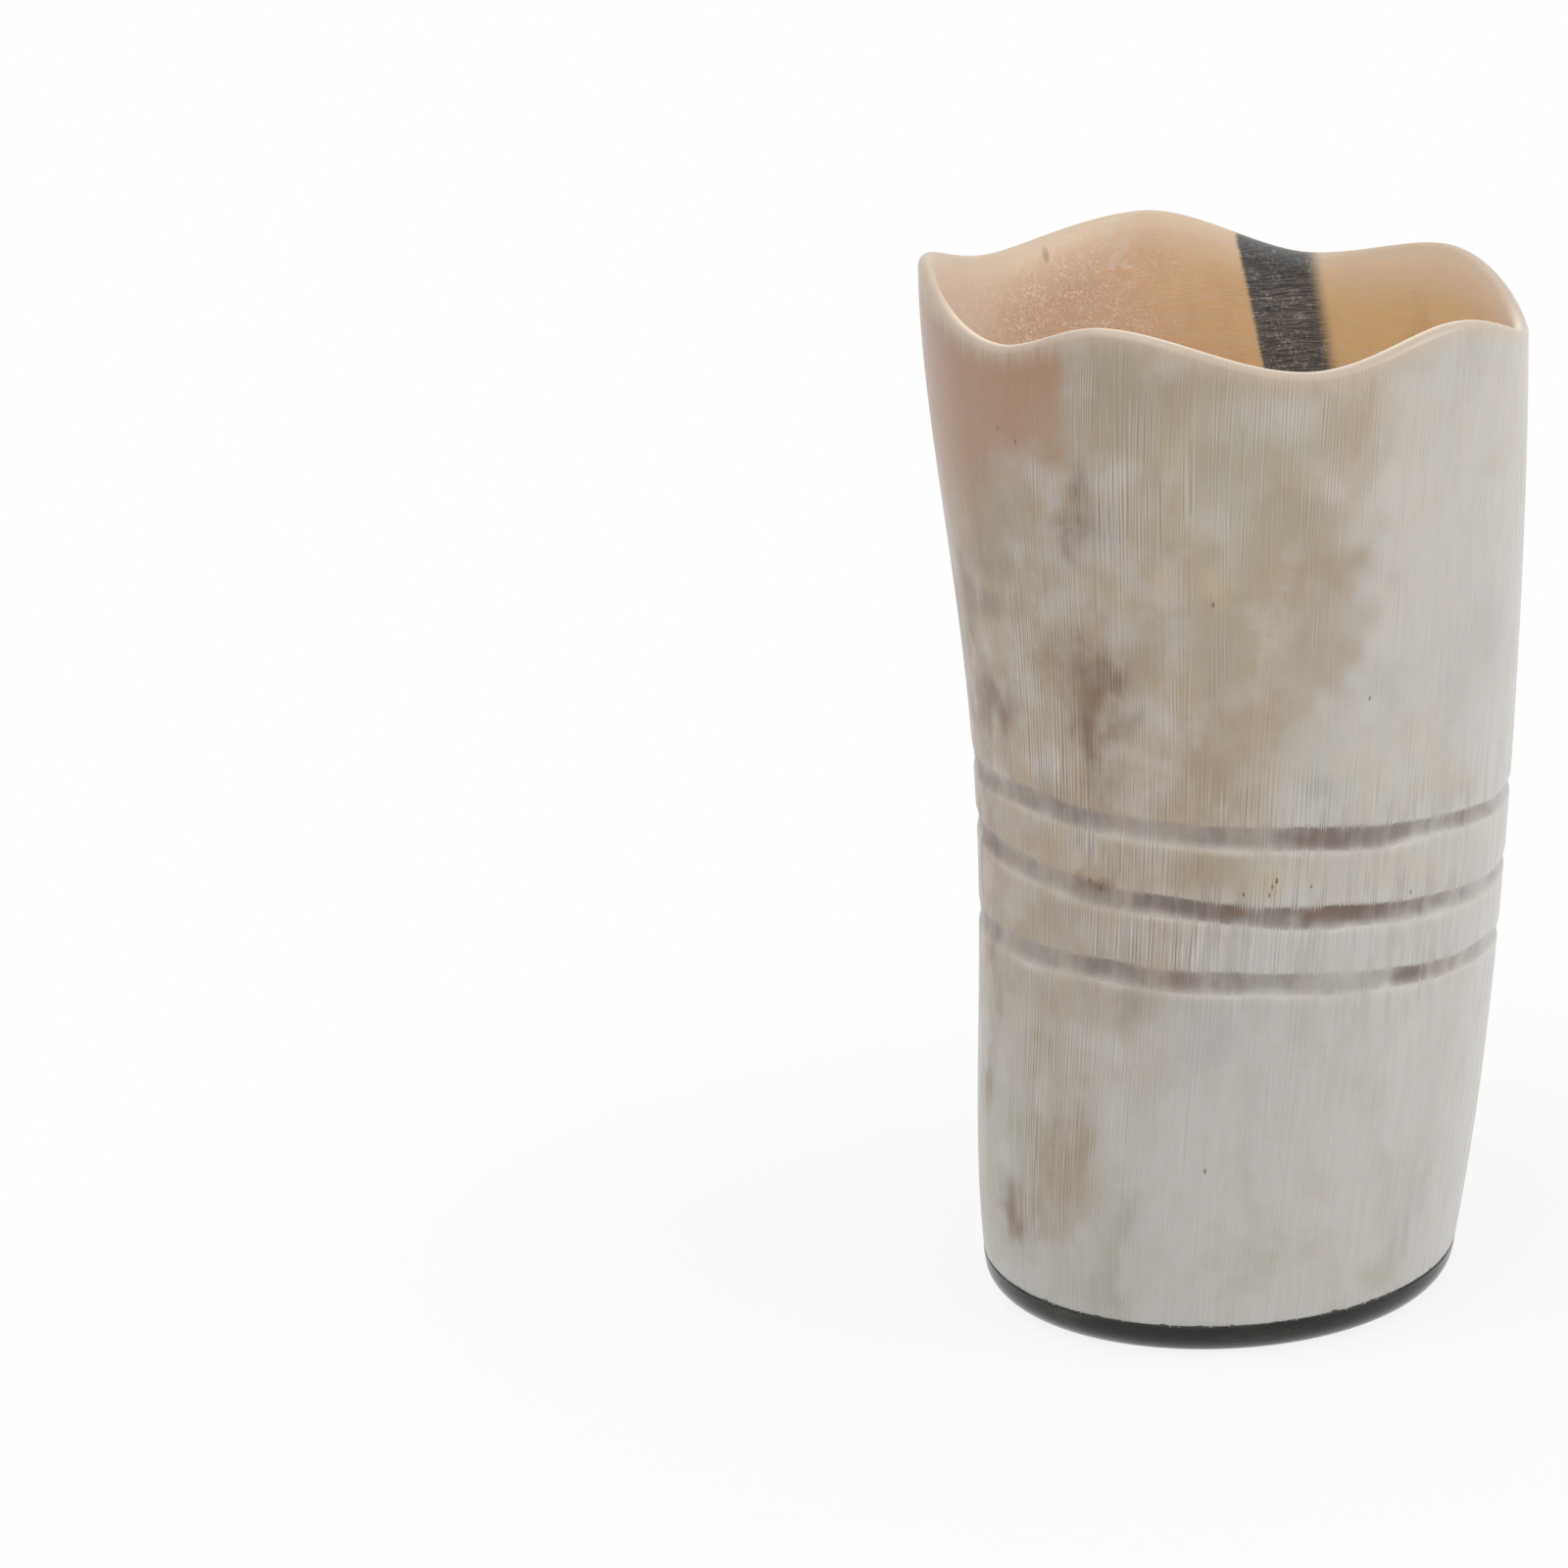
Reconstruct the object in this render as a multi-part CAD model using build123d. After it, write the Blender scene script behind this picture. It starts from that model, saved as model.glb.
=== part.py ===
from build123d import *
import math
import os

# A drinking cup made from one length of natural horn, closed at the foot by a plug of dark horn.
# Millimetres, +Z up. The origin is the middle of the underside that the cup stands on. The front
# of the cup faces -Y, and the horn bows and leans toward +X.

# Scalloped rim: its mean height, the horn cut away above its highest crest, the rounding of its
# edges, and its crests and dips by their angles from the front toward +X and their rises above the mean
RIM_HEIGHT = 122.3
RIM_SPARE = 2.3
RIM_ROUNDING = 0.85
RIM_ANGLES = (-89, -47, -23, 18, 47, 88, 129, 161, 197, 232)
RIM_RISES = (5.4, -0.7, 2.3, -3.4, -0.5, -5.6, -0.1, -2.5, 3.5, 1.4)

# Outside of the horn: its width, and how far its bow and its lean on the base carry it sideways, at
# even steps from the underside to the top of the blank, and its depth from front to back for each
# millimetre of width
FOOT_WIDTH = 56.0
LOWER_WIDTH = 61.4
MIDDLE_WIDTH = 63.7
UPPER_WIDTH = 67.9
MOUTH_WIDTH = 70.0
LOWER_BOW = 3.0
MIDDLE_BOW = 5.3
UPPER_BOW = 5.45
MOUTH_BOW = 5.2
OVALNESS = 0.971

# Wall that is left after the inside is reamed, at the foot and at the mouth
FOOT_WALL = 3.6
MOUTH_WALL = 2.0

# Seam between horn and base: its mean height, and its rise at the back
SEAM_HEIGHT = 5.3
SEAM_RISE_BACK = 1.0

# Joint at the seam: a spigot on the base goes up into a seat that is cut this far into the wall
SEAT_LEDGE = 1.2
SPIGOT_HEIGHT = 5.0
GLUE_THICKNESS = 0.15
BASE_ROUNDING = 3.6

# Largest rounding of an edge, for each millimetre of a wall that is rounded on both sides
ROUNDING_LIMIT = 0.45

# Hand-cut grooves: mean height, rise at the +X side and rise at the back
GROOVES = (
    (65.2, -2.6, -0.1),
    (56.7, -3.3, 0.7),
    (46.4, -1.9, -1.2),
)
GROOVE_WIDTH = 2.8
GROOVE_DEPTH = 0.5

# Worked out from the sizes above
HIGHEST_CREST = max(RIM_RISES)
LOWEST_DIP = min(RIM_RISES)
BLANK_LENGTH = RIM_HEIGHT + HIGHEST_CREST + RIM_SPARE
STATIONS = (
    (FOOT_WIDTH, 0.0),
    (LOWER_WIDTH, LOWER_BOW),
    (MIDDLE_WIDTH, MIDDLE_BOW),
    (UPPER_WIDTH, UPPER_BOW),
    (MOUTH_WIDTH, MOUTH_BOW),
)


def oval(half_width):
    """A cross-section of the horn, a little flattened from front to back."""
    return Ellipse(half_width, half_width * OVALNESS)


def horn_form(foot_wall, mouth_wall):
    """The outside of the horn, taken in by a wall that changes evenly from foot to mouth."""
    sections = []
    for step, (width, bow) in enumerate(STATIONS):
        share = step / (len(STATIONS) - 1)
        wall = foot_wall + (mouth_wall - foot_wall) * share
        sections.append(Pos(bow, 0, BLANK_LENGTH * share) * oval(width / 2 - wall))
    return loft(sections)


def measure(form, height):
    """Half-width and sideways bow of a horn form at a height."""
    box = section(form, section_by=Plane.XY.offset(height)).bounding_box()
    return box.size.X / 2, box.center().X


def tilted_plane(height, rise_side, rise_back):
    """A plane across the horn that rises by these amounts at its +X side and at its back."""
    half_width, bow = measure(outside, height)
    slope_side = rise_side / half_width
    slope_back = rise_back / (half_width * OVALNESS)
    return Plane(
        origin=(bow, 0, height),
        x_dir=(1, 0, slope_side),
        z_dir=(-slope_side, -slope_back, 1),
    )


def groove_cutter(height, rise_side, rise_back):
    """A ring whose hollow side is deepest halfway up and leaves the horn at both lips.

    It is turned half round, so that it closes on the other side from the horn's own surface.
    """
    half_width = measure(outside, height)[0]
    lip = half_width + GROOVE_DEPTH
    half_slab = GROOVE_WIDTH / math.sqrt(2)
    waist = loft(
        [
            Pos(0, 0, -half_slab) * oval(lip),
            oval(half_width - GROOVE_DEPTH),
            Pos(0, 0, half_slab) * oval(lip),
        ]
    )
    slab = extrude(oval(lip + GROOVE_DEPTH), amount=half_slab, both=True)
    half_turn = Rot(0, 0, 180)
    return tilted_plane(height, rise_side, rise_back) * half_turn * (slab - waist)


def rim_line(reach):
    """The scalloped line at a distance from the middle of the mouth, level at each crest and dip."""
    points = []
    tangents = []
    for angle, rise in zip(RIM_ANGLES + RIM_ANGLES[:1], RIM_RISES + RIM_RISES[:1]):
        sideways = math.sin(math.radians(angle))
        forward = math.cos(math.radians(angle))
        points.append((rim_bow + reach * sideways, -reach * OVALNESS * forward, RIM_HEIGHT + rise))
        tangents.append((forward, OVALNESS * sideways, 0))
    return Spline(points, tangents=tangents)


def rim_offcut():
    """The horn above the scalloped line, which is cut away.

    It clears the wall on both sides, also where the blank narrows or leans above the rim.
    """
    change_above = abs(MOUTH_WIDTH / 2 - rim_half_width) + abs(MOUTH_BOW - rim_bow)
    clear_of_wall = MOUTH_WALL + max(RIM_SPARE, 2 * change_above)
    inner_line = rim_line(rim_half_width - clear_of_wall)
    outer_line = rim_line(rim_half_width + clear_of_wall)
    scallops = Face.make_surface_from_curves(inner_line.edge(), outer_line.edge())
    cut_height = HIGHEST_CREST - LOWEST_DIP + 2 * RIM_SPARE
    return extrude(scallops, amount=cut_height, dir=(0, 0, 1))


def is_rim_edge(edge):
    """True for the long edges of the rim, and not for the short ones that cross the wall."""
    return edge.bounding_box().min.Z > RIM_HEIGHT + LOWEST_DIP - RIM_SPARE and edge.length > MOUTH_WIDTH


def make_horn_wall():
    """The horn tube, from the seam to the scalloped rim, with its seat and its grooves."""
    wall = split(outside - inside, bisect_by=seam, keep=Keep.TOP)
    wall = wall - seat - rim_offcut()
    wall = fillet(wall.edges().filter_by(is_rim_edge), radius=rim_rounding)
    for groove in GROOVES:
        wall = wall - groove_cutter(*groove)
    return wall


def make_base_plug():
    """The dark disc, with its spigot, its shoulder and a rounded edge to stand on."""
    disc = split(outside, bisect_by=shoulder, keep=Keep.BOTTOM)
    disc = fillet(disc.edges().group_by(Axis.Z)[0], radius=base_rounding)
    return disc + spigot


def make_glue_film():
    """The glue that fills the joint: a ring on the shoulder and a sleeve round the spigot."""
    ring = split(outside, bisect_by=shoulder, keep=Keep.TOP)
    ring = split(ring, bisect_by=seam, keep=Keep.BOTTOM)
    return ring + seat - spigot


outside = horn_form(0.0, 0.0)
inside = horn_form(FOOT_WALL, MOUTH_WALL)
rim_half_width, rim_bow = measure(outside, RIM_HEIGHT)

# Roundings, held to what the rim's wall and the thinnest side of the disc have room for
disc_thinnest = SEAM_HEIGHT - SEAM_RISE_BACK - GLUE_THICKNESS
rim_rounding = min(RIM_ROUNDING, ROUNDING_LIMIT * MOUTH_WALL)
base_rounding = min(BASE_ROUNDING, 2 * ROUNDING_LIMIT * disc_thinnest)

# Joint at the seam, drawn on the seam's own plane
seam = tilted_plane(SEAM_HEIGHT, 0, SEAM_RISE_BACK)
shoulder = seam.offset(-GLUE_THICKNESS)
seat_half_width = measure(inside, SEAM_HEIGHT)[0] + SEAT_LEDGE
seat = seam * extrude(oval(seat_half_width), amount=SPIGOT_HEIGHT)
spigot_oval = oval(seat_half_width - GLUE_THICKNESS)
spigot = shoulder * extrude(spigot_oval, amount=GLUE_THICKNESS + SPIGOT_HEIGHT)

os.makedirs("parts", exist_ok=True)
export_step(make_horn_wall(), "parts/horn_wall.step")
export_step(make_base_plug(), "parts/base_plug.step")
export_step(make_glue_film(), "parts/glue_film.step")
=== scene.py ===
import math

import bpy
import numpy as np
from bpy.props import FloatProperty, FloatVectorProperty, IntProperty, PointerProperty
from mathutils import Matrix, Vector


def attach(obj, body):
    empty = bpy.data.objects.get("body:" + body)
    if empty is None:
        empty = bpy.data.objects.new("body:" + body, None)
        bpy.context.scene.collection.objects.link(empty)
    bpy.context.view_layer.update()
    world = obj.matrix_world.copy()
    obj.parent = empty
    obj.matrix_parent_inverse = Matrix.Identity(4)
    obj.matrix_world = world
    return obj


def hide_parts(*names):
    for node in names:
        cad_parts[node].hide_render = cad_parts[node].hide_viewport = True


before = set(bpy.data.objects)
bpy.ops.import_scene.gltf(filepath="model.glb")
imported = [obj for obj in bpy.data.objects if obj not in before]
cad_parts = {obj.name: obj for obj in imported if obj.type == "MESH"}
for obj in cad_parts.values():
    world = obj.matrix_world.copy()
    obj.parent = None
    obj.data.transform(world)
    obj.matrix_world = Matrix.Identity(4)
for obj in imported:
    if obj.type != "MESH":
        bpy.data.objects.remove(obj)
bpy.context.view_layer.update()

bl_info = {
    "name": "Horn Drinking Cup",
    "version": (1, 0, 0),
    "blender": (4, 5, 0),
    "location": "View3D > Sidebar > Horn Cup",
    "description": "Builds a polished horn cup with a scalloped rim, cut grooves and a dark horn base",
    "category": "Add Mesh",
}

MM = 0.001
TURN = 2.0 * math.pi

# Crests and dips of the rim: angle from the front toward +X in degrees, and rise above the mean in mm
RIM_WAVE = (
    (-89, 5.4),
    (-47, -0.7),
    (-23, 2.3),
    (18, -3.4),
    (47, -0.5),
    (88, -5.6),
    (129, -0.1),
    (161, -2.5),
    (197, 3.5),
    (232, 1.4),
)

# Grooves: mean height, rise at the +X side and rise at the back in mm, and how much wider each one is where
# the tool was turned, a little to the right of the front
GROOVES = (
    (65.2, -2.6, -0.1, 0.25),
    (56.7, -3.3, 0.7, 0.12),
    (46.4, -1.9, -1.2, 0.1),
)

# Darker horn in the grooves, all of one half-height in mm. Each row is an angle from the front toward +X in
# degrees, a height along the leaning horn and a half-width round the cup in mm, and a strength.
STAIN_HALF_HEIGHT = 2.5
STAINS = (
    (-70, 66.3, 9.0, 0.3), (-45, 66.2, 11, 0.28), (-28, 65.8, 6.0, 0.25),
    (-3, 64.9, 4.0, 0.3), (10, 64.6, 4.0, 0.5), (18, 64.3, 5.0, 0.88),
    (26, 64, 5.0, 0.75), (36, 63.8, 5.0, 0.4), (50, 63.9, 7.0, 0.4),
    (64, 64, 5.0, 0.25), (-71, 57.8, 5.0, 0.55), (-52, 57.6, 8.0, 0.26),
    (-36, 57.3, 7.0, 0.28), (-18, 56.2, 5.0, 0.5), (-9, 55.9, 4.0, 0.5),
    (-2, 55.6, 2.0, 0.8), (9, 55.2, 2.4, 0.7), (17, 55, 3.4, 1.0),
    (25, 54.8, 4.0, 1.0), (35, 54.5, 5.0, 0.5), (45, 54.5, 5.0, 0.35),
    (62, 54.8, 7.0, 0.3), (-72, 49, 6.0, 0.55), (-45, 48.3, 6.0, 0.15),
    (-29, 47.6, 4.5, 0.36), (-19, 47.3, 4.5, 0.35), (-3, 47, 3.0, 0.38),
    (9, 46.6, 3.0, 0.25), (20, 46.3, 3.0, 0.36), (30, 46.1, 2.4, 0.2),
    (38, 45.9, 3.4, 0.65), (52, 45.6, 5.0, 0.45), (-105, 66, 7.0, 0.5),
    (-150, 65, 9.0, 0.7), (170, 64, 7.0, 0.5), (135, 63.5, 10, 0.6),
    (90, 54.5, 8.0, 0.5), (122, 55, 9.0, 0.7), (165, 56, 9.0, 0.5),
    (-125, 58, 9.0, 0.55), (100, 45, 8.0, 0.5), (150, 46, 9.0, 0.6),
    (-160, 48, 9.0, 0.5),
)

# Marks of the horn, by tone. Each row is an angle from the front toward +X in degrees, a height along
# the leaning horn, a half-width round the cup and a half-height in mm, and a strength.
MARKS = {
    "tan": (
        (-24, 112, 5.0, 8.0, 0.5), (14, 112, 5.0, 6.0, 0.35), (-10, 113, 3.5, 5.0, 0.5),
        (4, 110, 2.5, 5.0, 0.4), (-7, 108, 5.0, 5.0, 0.35), (21, 104, 3.4, 8.0, 0.35),
        (20, 88, 3.4, 6.0, 0.4), (17, 97, 3.6, 3.6, 1.0), (12, 101, 3.0, 3.0, 0.5),
        (16, 86, 2.6, 5.5, 0.7), (-17, 85.5, 2.6, 3.0, 0.7), (-1, 80, 3.0, 4.0, 0.6),
        (-8, 73, 3.4, 4.0, 0.6), (-10, 61, 4.0, 2.2, 0.9), (-4, 60.5, 4.0, 2.0, 0.55),
        (-54, 99, 7.0, 6.0, 0.85), (-63, 101, 6.0, 6.0, 0.65), (-52, 88.5, 4.0, 2.0, 0.3),
        (-52, 52.5, 8.0, 2.6, 0.45), (-65, 62, 5.0, 2.4, 0.6), (-36, 44, 5.5, 3.6, 0.5),
        (-46, 28, 2.0, 10, 0.4), (-33, 20, 1.4, 9.0, 0.4), (-62, 44, 6.0, 4.0, 0.6),
        (-45, 36.5, 3.2, 1.2, 0.4), (-39, 32, 3.5, 3.0, 0.6), (-40, 24, 3.6, 5.5, 0.9),
        (-43, 17, 4.5, 4.0, 0.7), (52, 67.8, 2.6, 1.6, 0.5), (-110, 90, 9.0, 12, 0.7),
        (-140, 74, 7.0, 9.0, 0.8), (-125, 26, 9.0, 10, 0.7), (172, 88, 7.0, 6.0, 0.6),
        (-172, 22, 6.0, 8.0, 0.6), (120, 84, 5.0, 10, 0.6), (135, 30, 6.0, 9.0, 0.5),
    ),
    "olive": (
        (1, 104, 4.0, 4.0, 0.8), (6, 111, 6.0, 4.0, 0.6), (-8, 109, 5.0, 5.0, 0.3),
        (-64, 26, 5.0, 9.0, 0.7), (-34, 92.5, 8.0, 3.6, 0.4), (-40, 119, 11, 2.6, 0.8),
        (2, 92, 4.0, 6.0, 0.4), (14, 75, 3.5, 7.0, 0.55), (-27, 13, 2.4, 8.0, 0.6),
        (-52, 27, 4.5, 4.5, 0.5), (-74, 14, 6.0, 10, 0.8), (11, 13, 5.0, 3.0, 0.5),
        (41, 7.5, 3.0, 1.4, 0.6), (-5, 88, 5.0, 4.0, 0.35), (-120, 100, 8.0, 6.0, 0.5),
        (160, 30, 8.0, 10, 0.5),
    ),
    "yellow": (
        (-26, 92.5, 2.0, 2.2, 0.5), (-14.5, 95, 1.0, 1.4, 0.8), (-3, 94, 1.8, 1.5, 0.9),
        (-8, 107, 6.0, 6.0, 0.35), (40, 108, 6.0, 11, 0.3), (39, 92, 5.0, 8.0, 0.25),
        (70, 108, 6.0, 9.0, 0.3), (30, 72, 5.0, 5.0, 0.35), (38, 59.5, 16, 2.0, 0.25),
        (5, 58.6, 1.6, 1.6, 0.7), (47, 69, 3.0, 2.0, 0.4), (105, 95, 10, 14, 0.6),
        (-165, 40, 9.0, 16, 0.6),
    ),
    "white": (
        (9, 114, 4.0, 2.8, 0.45), (-42, 106.5, 4.0, 3.5, 0.7), (-3, 102, 3.0, 2.5, 0.45),
        (-20, 104.5, 5.0, 3.0, 0.45), (44, 98, 8.0, 12, 0.6), (38, 92, 6.0, 9.0, 0.7),
        (-31, 93, 4.0, 5.0, 0.5), (-28, 87, 3.5, 3.0, 0.4), (29, 116, 3.6, 2.4, 0.6),
        (17, 107, 5.0, 1.6, 0.25), (33, 103.5, 3.6, 2.6, 0.6), (-34.5, 105.5, 2.0, 2.6, 0.7),
        (-20.5, 106.5, 2.6, 1.6, 0.4), (-8, 106.5, 3.0, 2.2, 0.2), (-29, 115, 0.9, 4.5, 0.6),
        (-26.5, 114, 0.9, 4.5, 0.5), (-36, 97.5, 5.0, 2.0, 0.45), (-46, 94, 1.0, 6.0, 0.5),
        (-13, 79.5, 2.6, 1.4, 0.6), (-20.5, 78, 2.4, 3.6, 0.7), (-12, 84, 1.5, 2.5, 0.4),
        (-40, 79, 6.0, 2.0, 0.5), (23, 77, 5.0, 5.0, 0.4), (-33, 73, 2.6, 1.4, 0.6),
        (-44, 70.5, 7.0, 1.6, 0.45), (-45, 62.5, 8.0, 1.8, 0.4), (-18, 62, 2.0, 2.5, 0.4),
        (-20, 52, 5.0, 2.0, 0.4), (-28, 20, 1.5, 8.0, 0.4), (-32, 38.5, 3.5, 3.5, 0.55),
        (-50, 46, 4.0, 2.0, 0.3), (62, 74, 8.0, 6.0, 0.3), (50, 30, 8.0, 12, 0.5),
        (50, 72, 8.0, 6.0, 0.35), (65, 95, 9.0, 24, 0.3), (65, 50, 8.0, 24, 0.3),
        (-130, 105, 7.0, 8.0, 0.5), (110, 60, 9.0, 18, 0.5), (150, 100, 5.0, 12, 0.5),
    ),
    "grey": (
        (-27.5, 100, 2.0, 2.4, 0.5), (47, 76, 0.8, 5.0, 0.4), (51, 77, 0.8, 6.0, 0.5),
        (63, 84, 3.0, 3.0, 0.35), (54, 86, 6.0, 8.0, 0.3), (16, 70.7, 1.0, 1.0, 0.8),
        (14, 68.6, 0.6, 1.6, 0.5), (43.5, 12, 0.6, 3.0, 0.7), (47.5, 13, 0.7, 4.0, 0.6),
        (51.5, 17, 0.9, 3.0, 0.6), (-22, 15.5, 1.2, 3.0, 0.5), (-25.5, 7.5, 0.8, 2.4, 0.7),
        (-30.5, 7.0, 0.6, 2.0, 0.5), (-25.5, 43.5, 0.9, 2.4, 0.3), (-22, 44, 0.7, 2.2, 0.3),
        (50, 29, 1.4, 9.0, 0.3), (35, 26, 0.8, 6.0, 0.25), (5, 33, 0.8, 8.0, 0.2),
        (-6, 40, 9.0, 4.0, 0.3), (100, 24, 2.0, 10, 0.6), (145, 62, 3.0, 12, 0.6),
        (-100, 16, 2.4, 8.0, 0.6),
    ),
    "combed": (
        (-28, 101, 4.0, 4.0, 0.5), (-21, 110, 5.0, 9.0, 0.2), (-14, 100, 6.0, 6.0, 0.1),
        (-44, 82, 8.0, 8.0, 0.7), (-24, 52, 9.0, 4.0, 0.65), (-33, 61.5, 9.0, 4.0, 0.8),
        (-45, 70, 10, 4.0, 0.9), (12, 51, 14, 3.0, 0.3), (15, 68.5, 14, 3.5, 0.5),
        (10, 113, 14, 4.0, 0.1), (-55, 28, 11, 16, 0.8), (-150, 80, 20, 25, 0.6),
        (150, 80, 20, 25, 0.6),
    ),
    "stain": tuple(
        (degrees, height, half_width, STAIN_HALF_HEIGHT, strength)
        for degrees, height, half_width, strength in STAINS
    ),
    # Brown rows from -62 to -75 degrees, along the -X edge, are partly stains and partly painted shade
    # darkening that edge
    "brown": (
        (-31.5, 102, 1.2, 3.6, 0.4), (-29, 103.5, 0.9, 4.5, 0.2), (-32.5, 99.5, 1.7, 1.5, 0.45),
        (-58, 96, 3.0, 3.0, 0.15), (-28.5, 81.5, 2.4, 3.2, 0.85), (-31, 76.5, 1.9, 3.4, 0.65),
        (-25, 84, 2.6, 1.2, 0.2), (-30.5, 80, 2.6, 5.5, 0.5), (-40, 84, 2.4, 1.8, 0.28),
        # Partly painted shade along the -X edge: the rows at -66 and -75 degrees here and at -71 and -62 on
        # the next line
        (-30, 69.5, 2.0, 2.0, 0.5), (-66, 88, 4.5, 1.6, 0.5), (-75, 84, 4.5, 6.0, 0.65),
        (-71, 73.5, 5.0, 3.5, 0.6), (-62, 76, 3.0, 2.6, 0.4), (15, 64.4, 1.8, 0.9, 0.4),
        (-1.8, 55.6, 1.3, 0.7, 0.6), (15, 54.9, 2.0, 0.6, 0.5), (24, 54.8, 3.0, 0.6, 0.4),
        (-33, 57.5, 2.2, 0.6, 0.6), (-16, 47, 2.4, 0.8, 0.35), (-24, 42.5, 1.6, 2.2, 0.15),
        # Partly painted shade along the -X edge: the rows at -74, -74 and -71 degrees
        (-74, 60, 4.5, 6.0, 0.45), (-74, 42, 4.5, 6.0, 0.5), (-71, 27, 2.4, 3.0, 0.7),
        (-59, 14, 2.0, 2.2, 0.7), (-55, 10.5, 2.4, 1.8, 0.45), (-118, 79, 1.8, 6.0, 0.6),
        (-150, 92, 1.4, 8.0, 0.45), (-132, 33, 1.5, 8.0, 0.5), (128, 72, 1.4, 5.0, 0.4),
    ),
}

# Small specks: angle from the front toward +X in degrees, height and radius in mm
SPECKS = (
    (-4.3, 92.3, 0.17), (26.3, 80.3, 0.15), (7.1, 59.3, 0.19),
    (6.2, 58.6, 0.14), (5.6, 57.6, 0.14), (0.3, 57.7, 0.15),
    (14.4, 58.4, 0.12), (38.0, 55.9, 0.15), (-31.0, 57.0, 0.19),
    (-33.5, 57.8, 0.17), (-5.1, 23.6, 0.18), (-43.0, 109.2, 0.16),
    (-47.6, 110.3, 0.13),
)

# A small dent and a spot of haze on the inside, in the same way
DENT = (-140.0, 120.7, 0.5)
HAZE = (-157.5, 120.0, 2.2)


def length(name, description, default):
    """A size in metres."""
    return FloatProperty(name=name, description=description, default=default, unit="LENGTH", precision=5)


def lengths(name, description, default):
    """A row of sizes in metres."""
    return FloatVectorProperty(
        name=name, description=description, default=default, size=len(default), unit="LENGTH", precision=5
    )


def share(name, description, default):
    """A plain number."""
    return FloatProperty(name=name, description=description, default=default)


def angle(name, description, degrees):
    """An angle, given in degrees."""
    return FloatProperty(name=name, description=description, default=math.radians(degrees), subtype="ANGLE")


def tone(name, description, default):
    """A colour, as linear values."""
    return FloatVectorProperty(name=name, description=description, default=default, subtype="COLOR")


class CupSizes(bpy.types.PropertyGroup):
    """Real sizes of the cup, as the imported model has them."""

    rim_height: length("Rim Height", "Mean height of the scalloped rim", 122.3 * MM)
    rim_spare: length("Rim Spare", "Horn cut away above the highest crest", 2.3 * MM)
    rim_cap: length("Rim Cap", "Height of the rounded top of the rim", 0.95 * MM)
    rim_wear: length("Rim Wear", "Height of the worn inner edge of the rim", 2.4 * MM)
    widths: lengths(
        "Widths", "Outside widths at even steps from the underside to the top of the horn",
        (56.0 * MM, 61.4 * MM, 63.7 * MM, 67.9 * MM, 70.0 * MM),
    )
    bows: lengths(
        "Bows", "How far the horn's bow and lean carry it sideways at the same steps",
        (0.0, 3.0 * MM, 5.3 * MM, 5.45 * MM, 5.2 * MM),
    )
    ovalness: share("Ovalness", "Depth of the horn from front to back for each part of its width", 0.971)
    foot_wall: length("Foot Wall", "Wall of the horn at the foot", 3.6 * MM)
    mouth_wall: length("Mouth Wall", "Wall of the horn at the mouth", 2.0 * MM)
    seam_height: length("Seam Height", "Mean height of the seam above the underside", 5.3 * MM)
    seam_rise: length("Seam Rise", "Rise of the seam at the back", 1.0 * MM)
    seat_ledge: length("Seat Ledge", "How far the seat for the base is cut into the wall", 1.2 * MM)
    spigot_height: length("Spigot Height", "Height of the base's spigot above the seam", 5.0 * MM)
    glue_thickness: length("Glue Thickness", "Thickness of the glue between horn and base", 0.15 * MM)
    base_rounding: length("Base Rounding", "Rounding of the base's lower edge", 3.6 * MM)
    edge_rounding: length("Edge Rounding", "Wear on the two edges of the seam", 0.16 * MM)
    groove_width: length("Groove Width", "Width of a groove from lip to lip", 2.8 * MM)
    groove_depth: length("Groove Depth", "Depth of a groove at its middle", 0.5 * MM)
    columns: IntProperty(name="Columns", description="Mesh columns round the cup", default=400, min=64)


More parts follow.
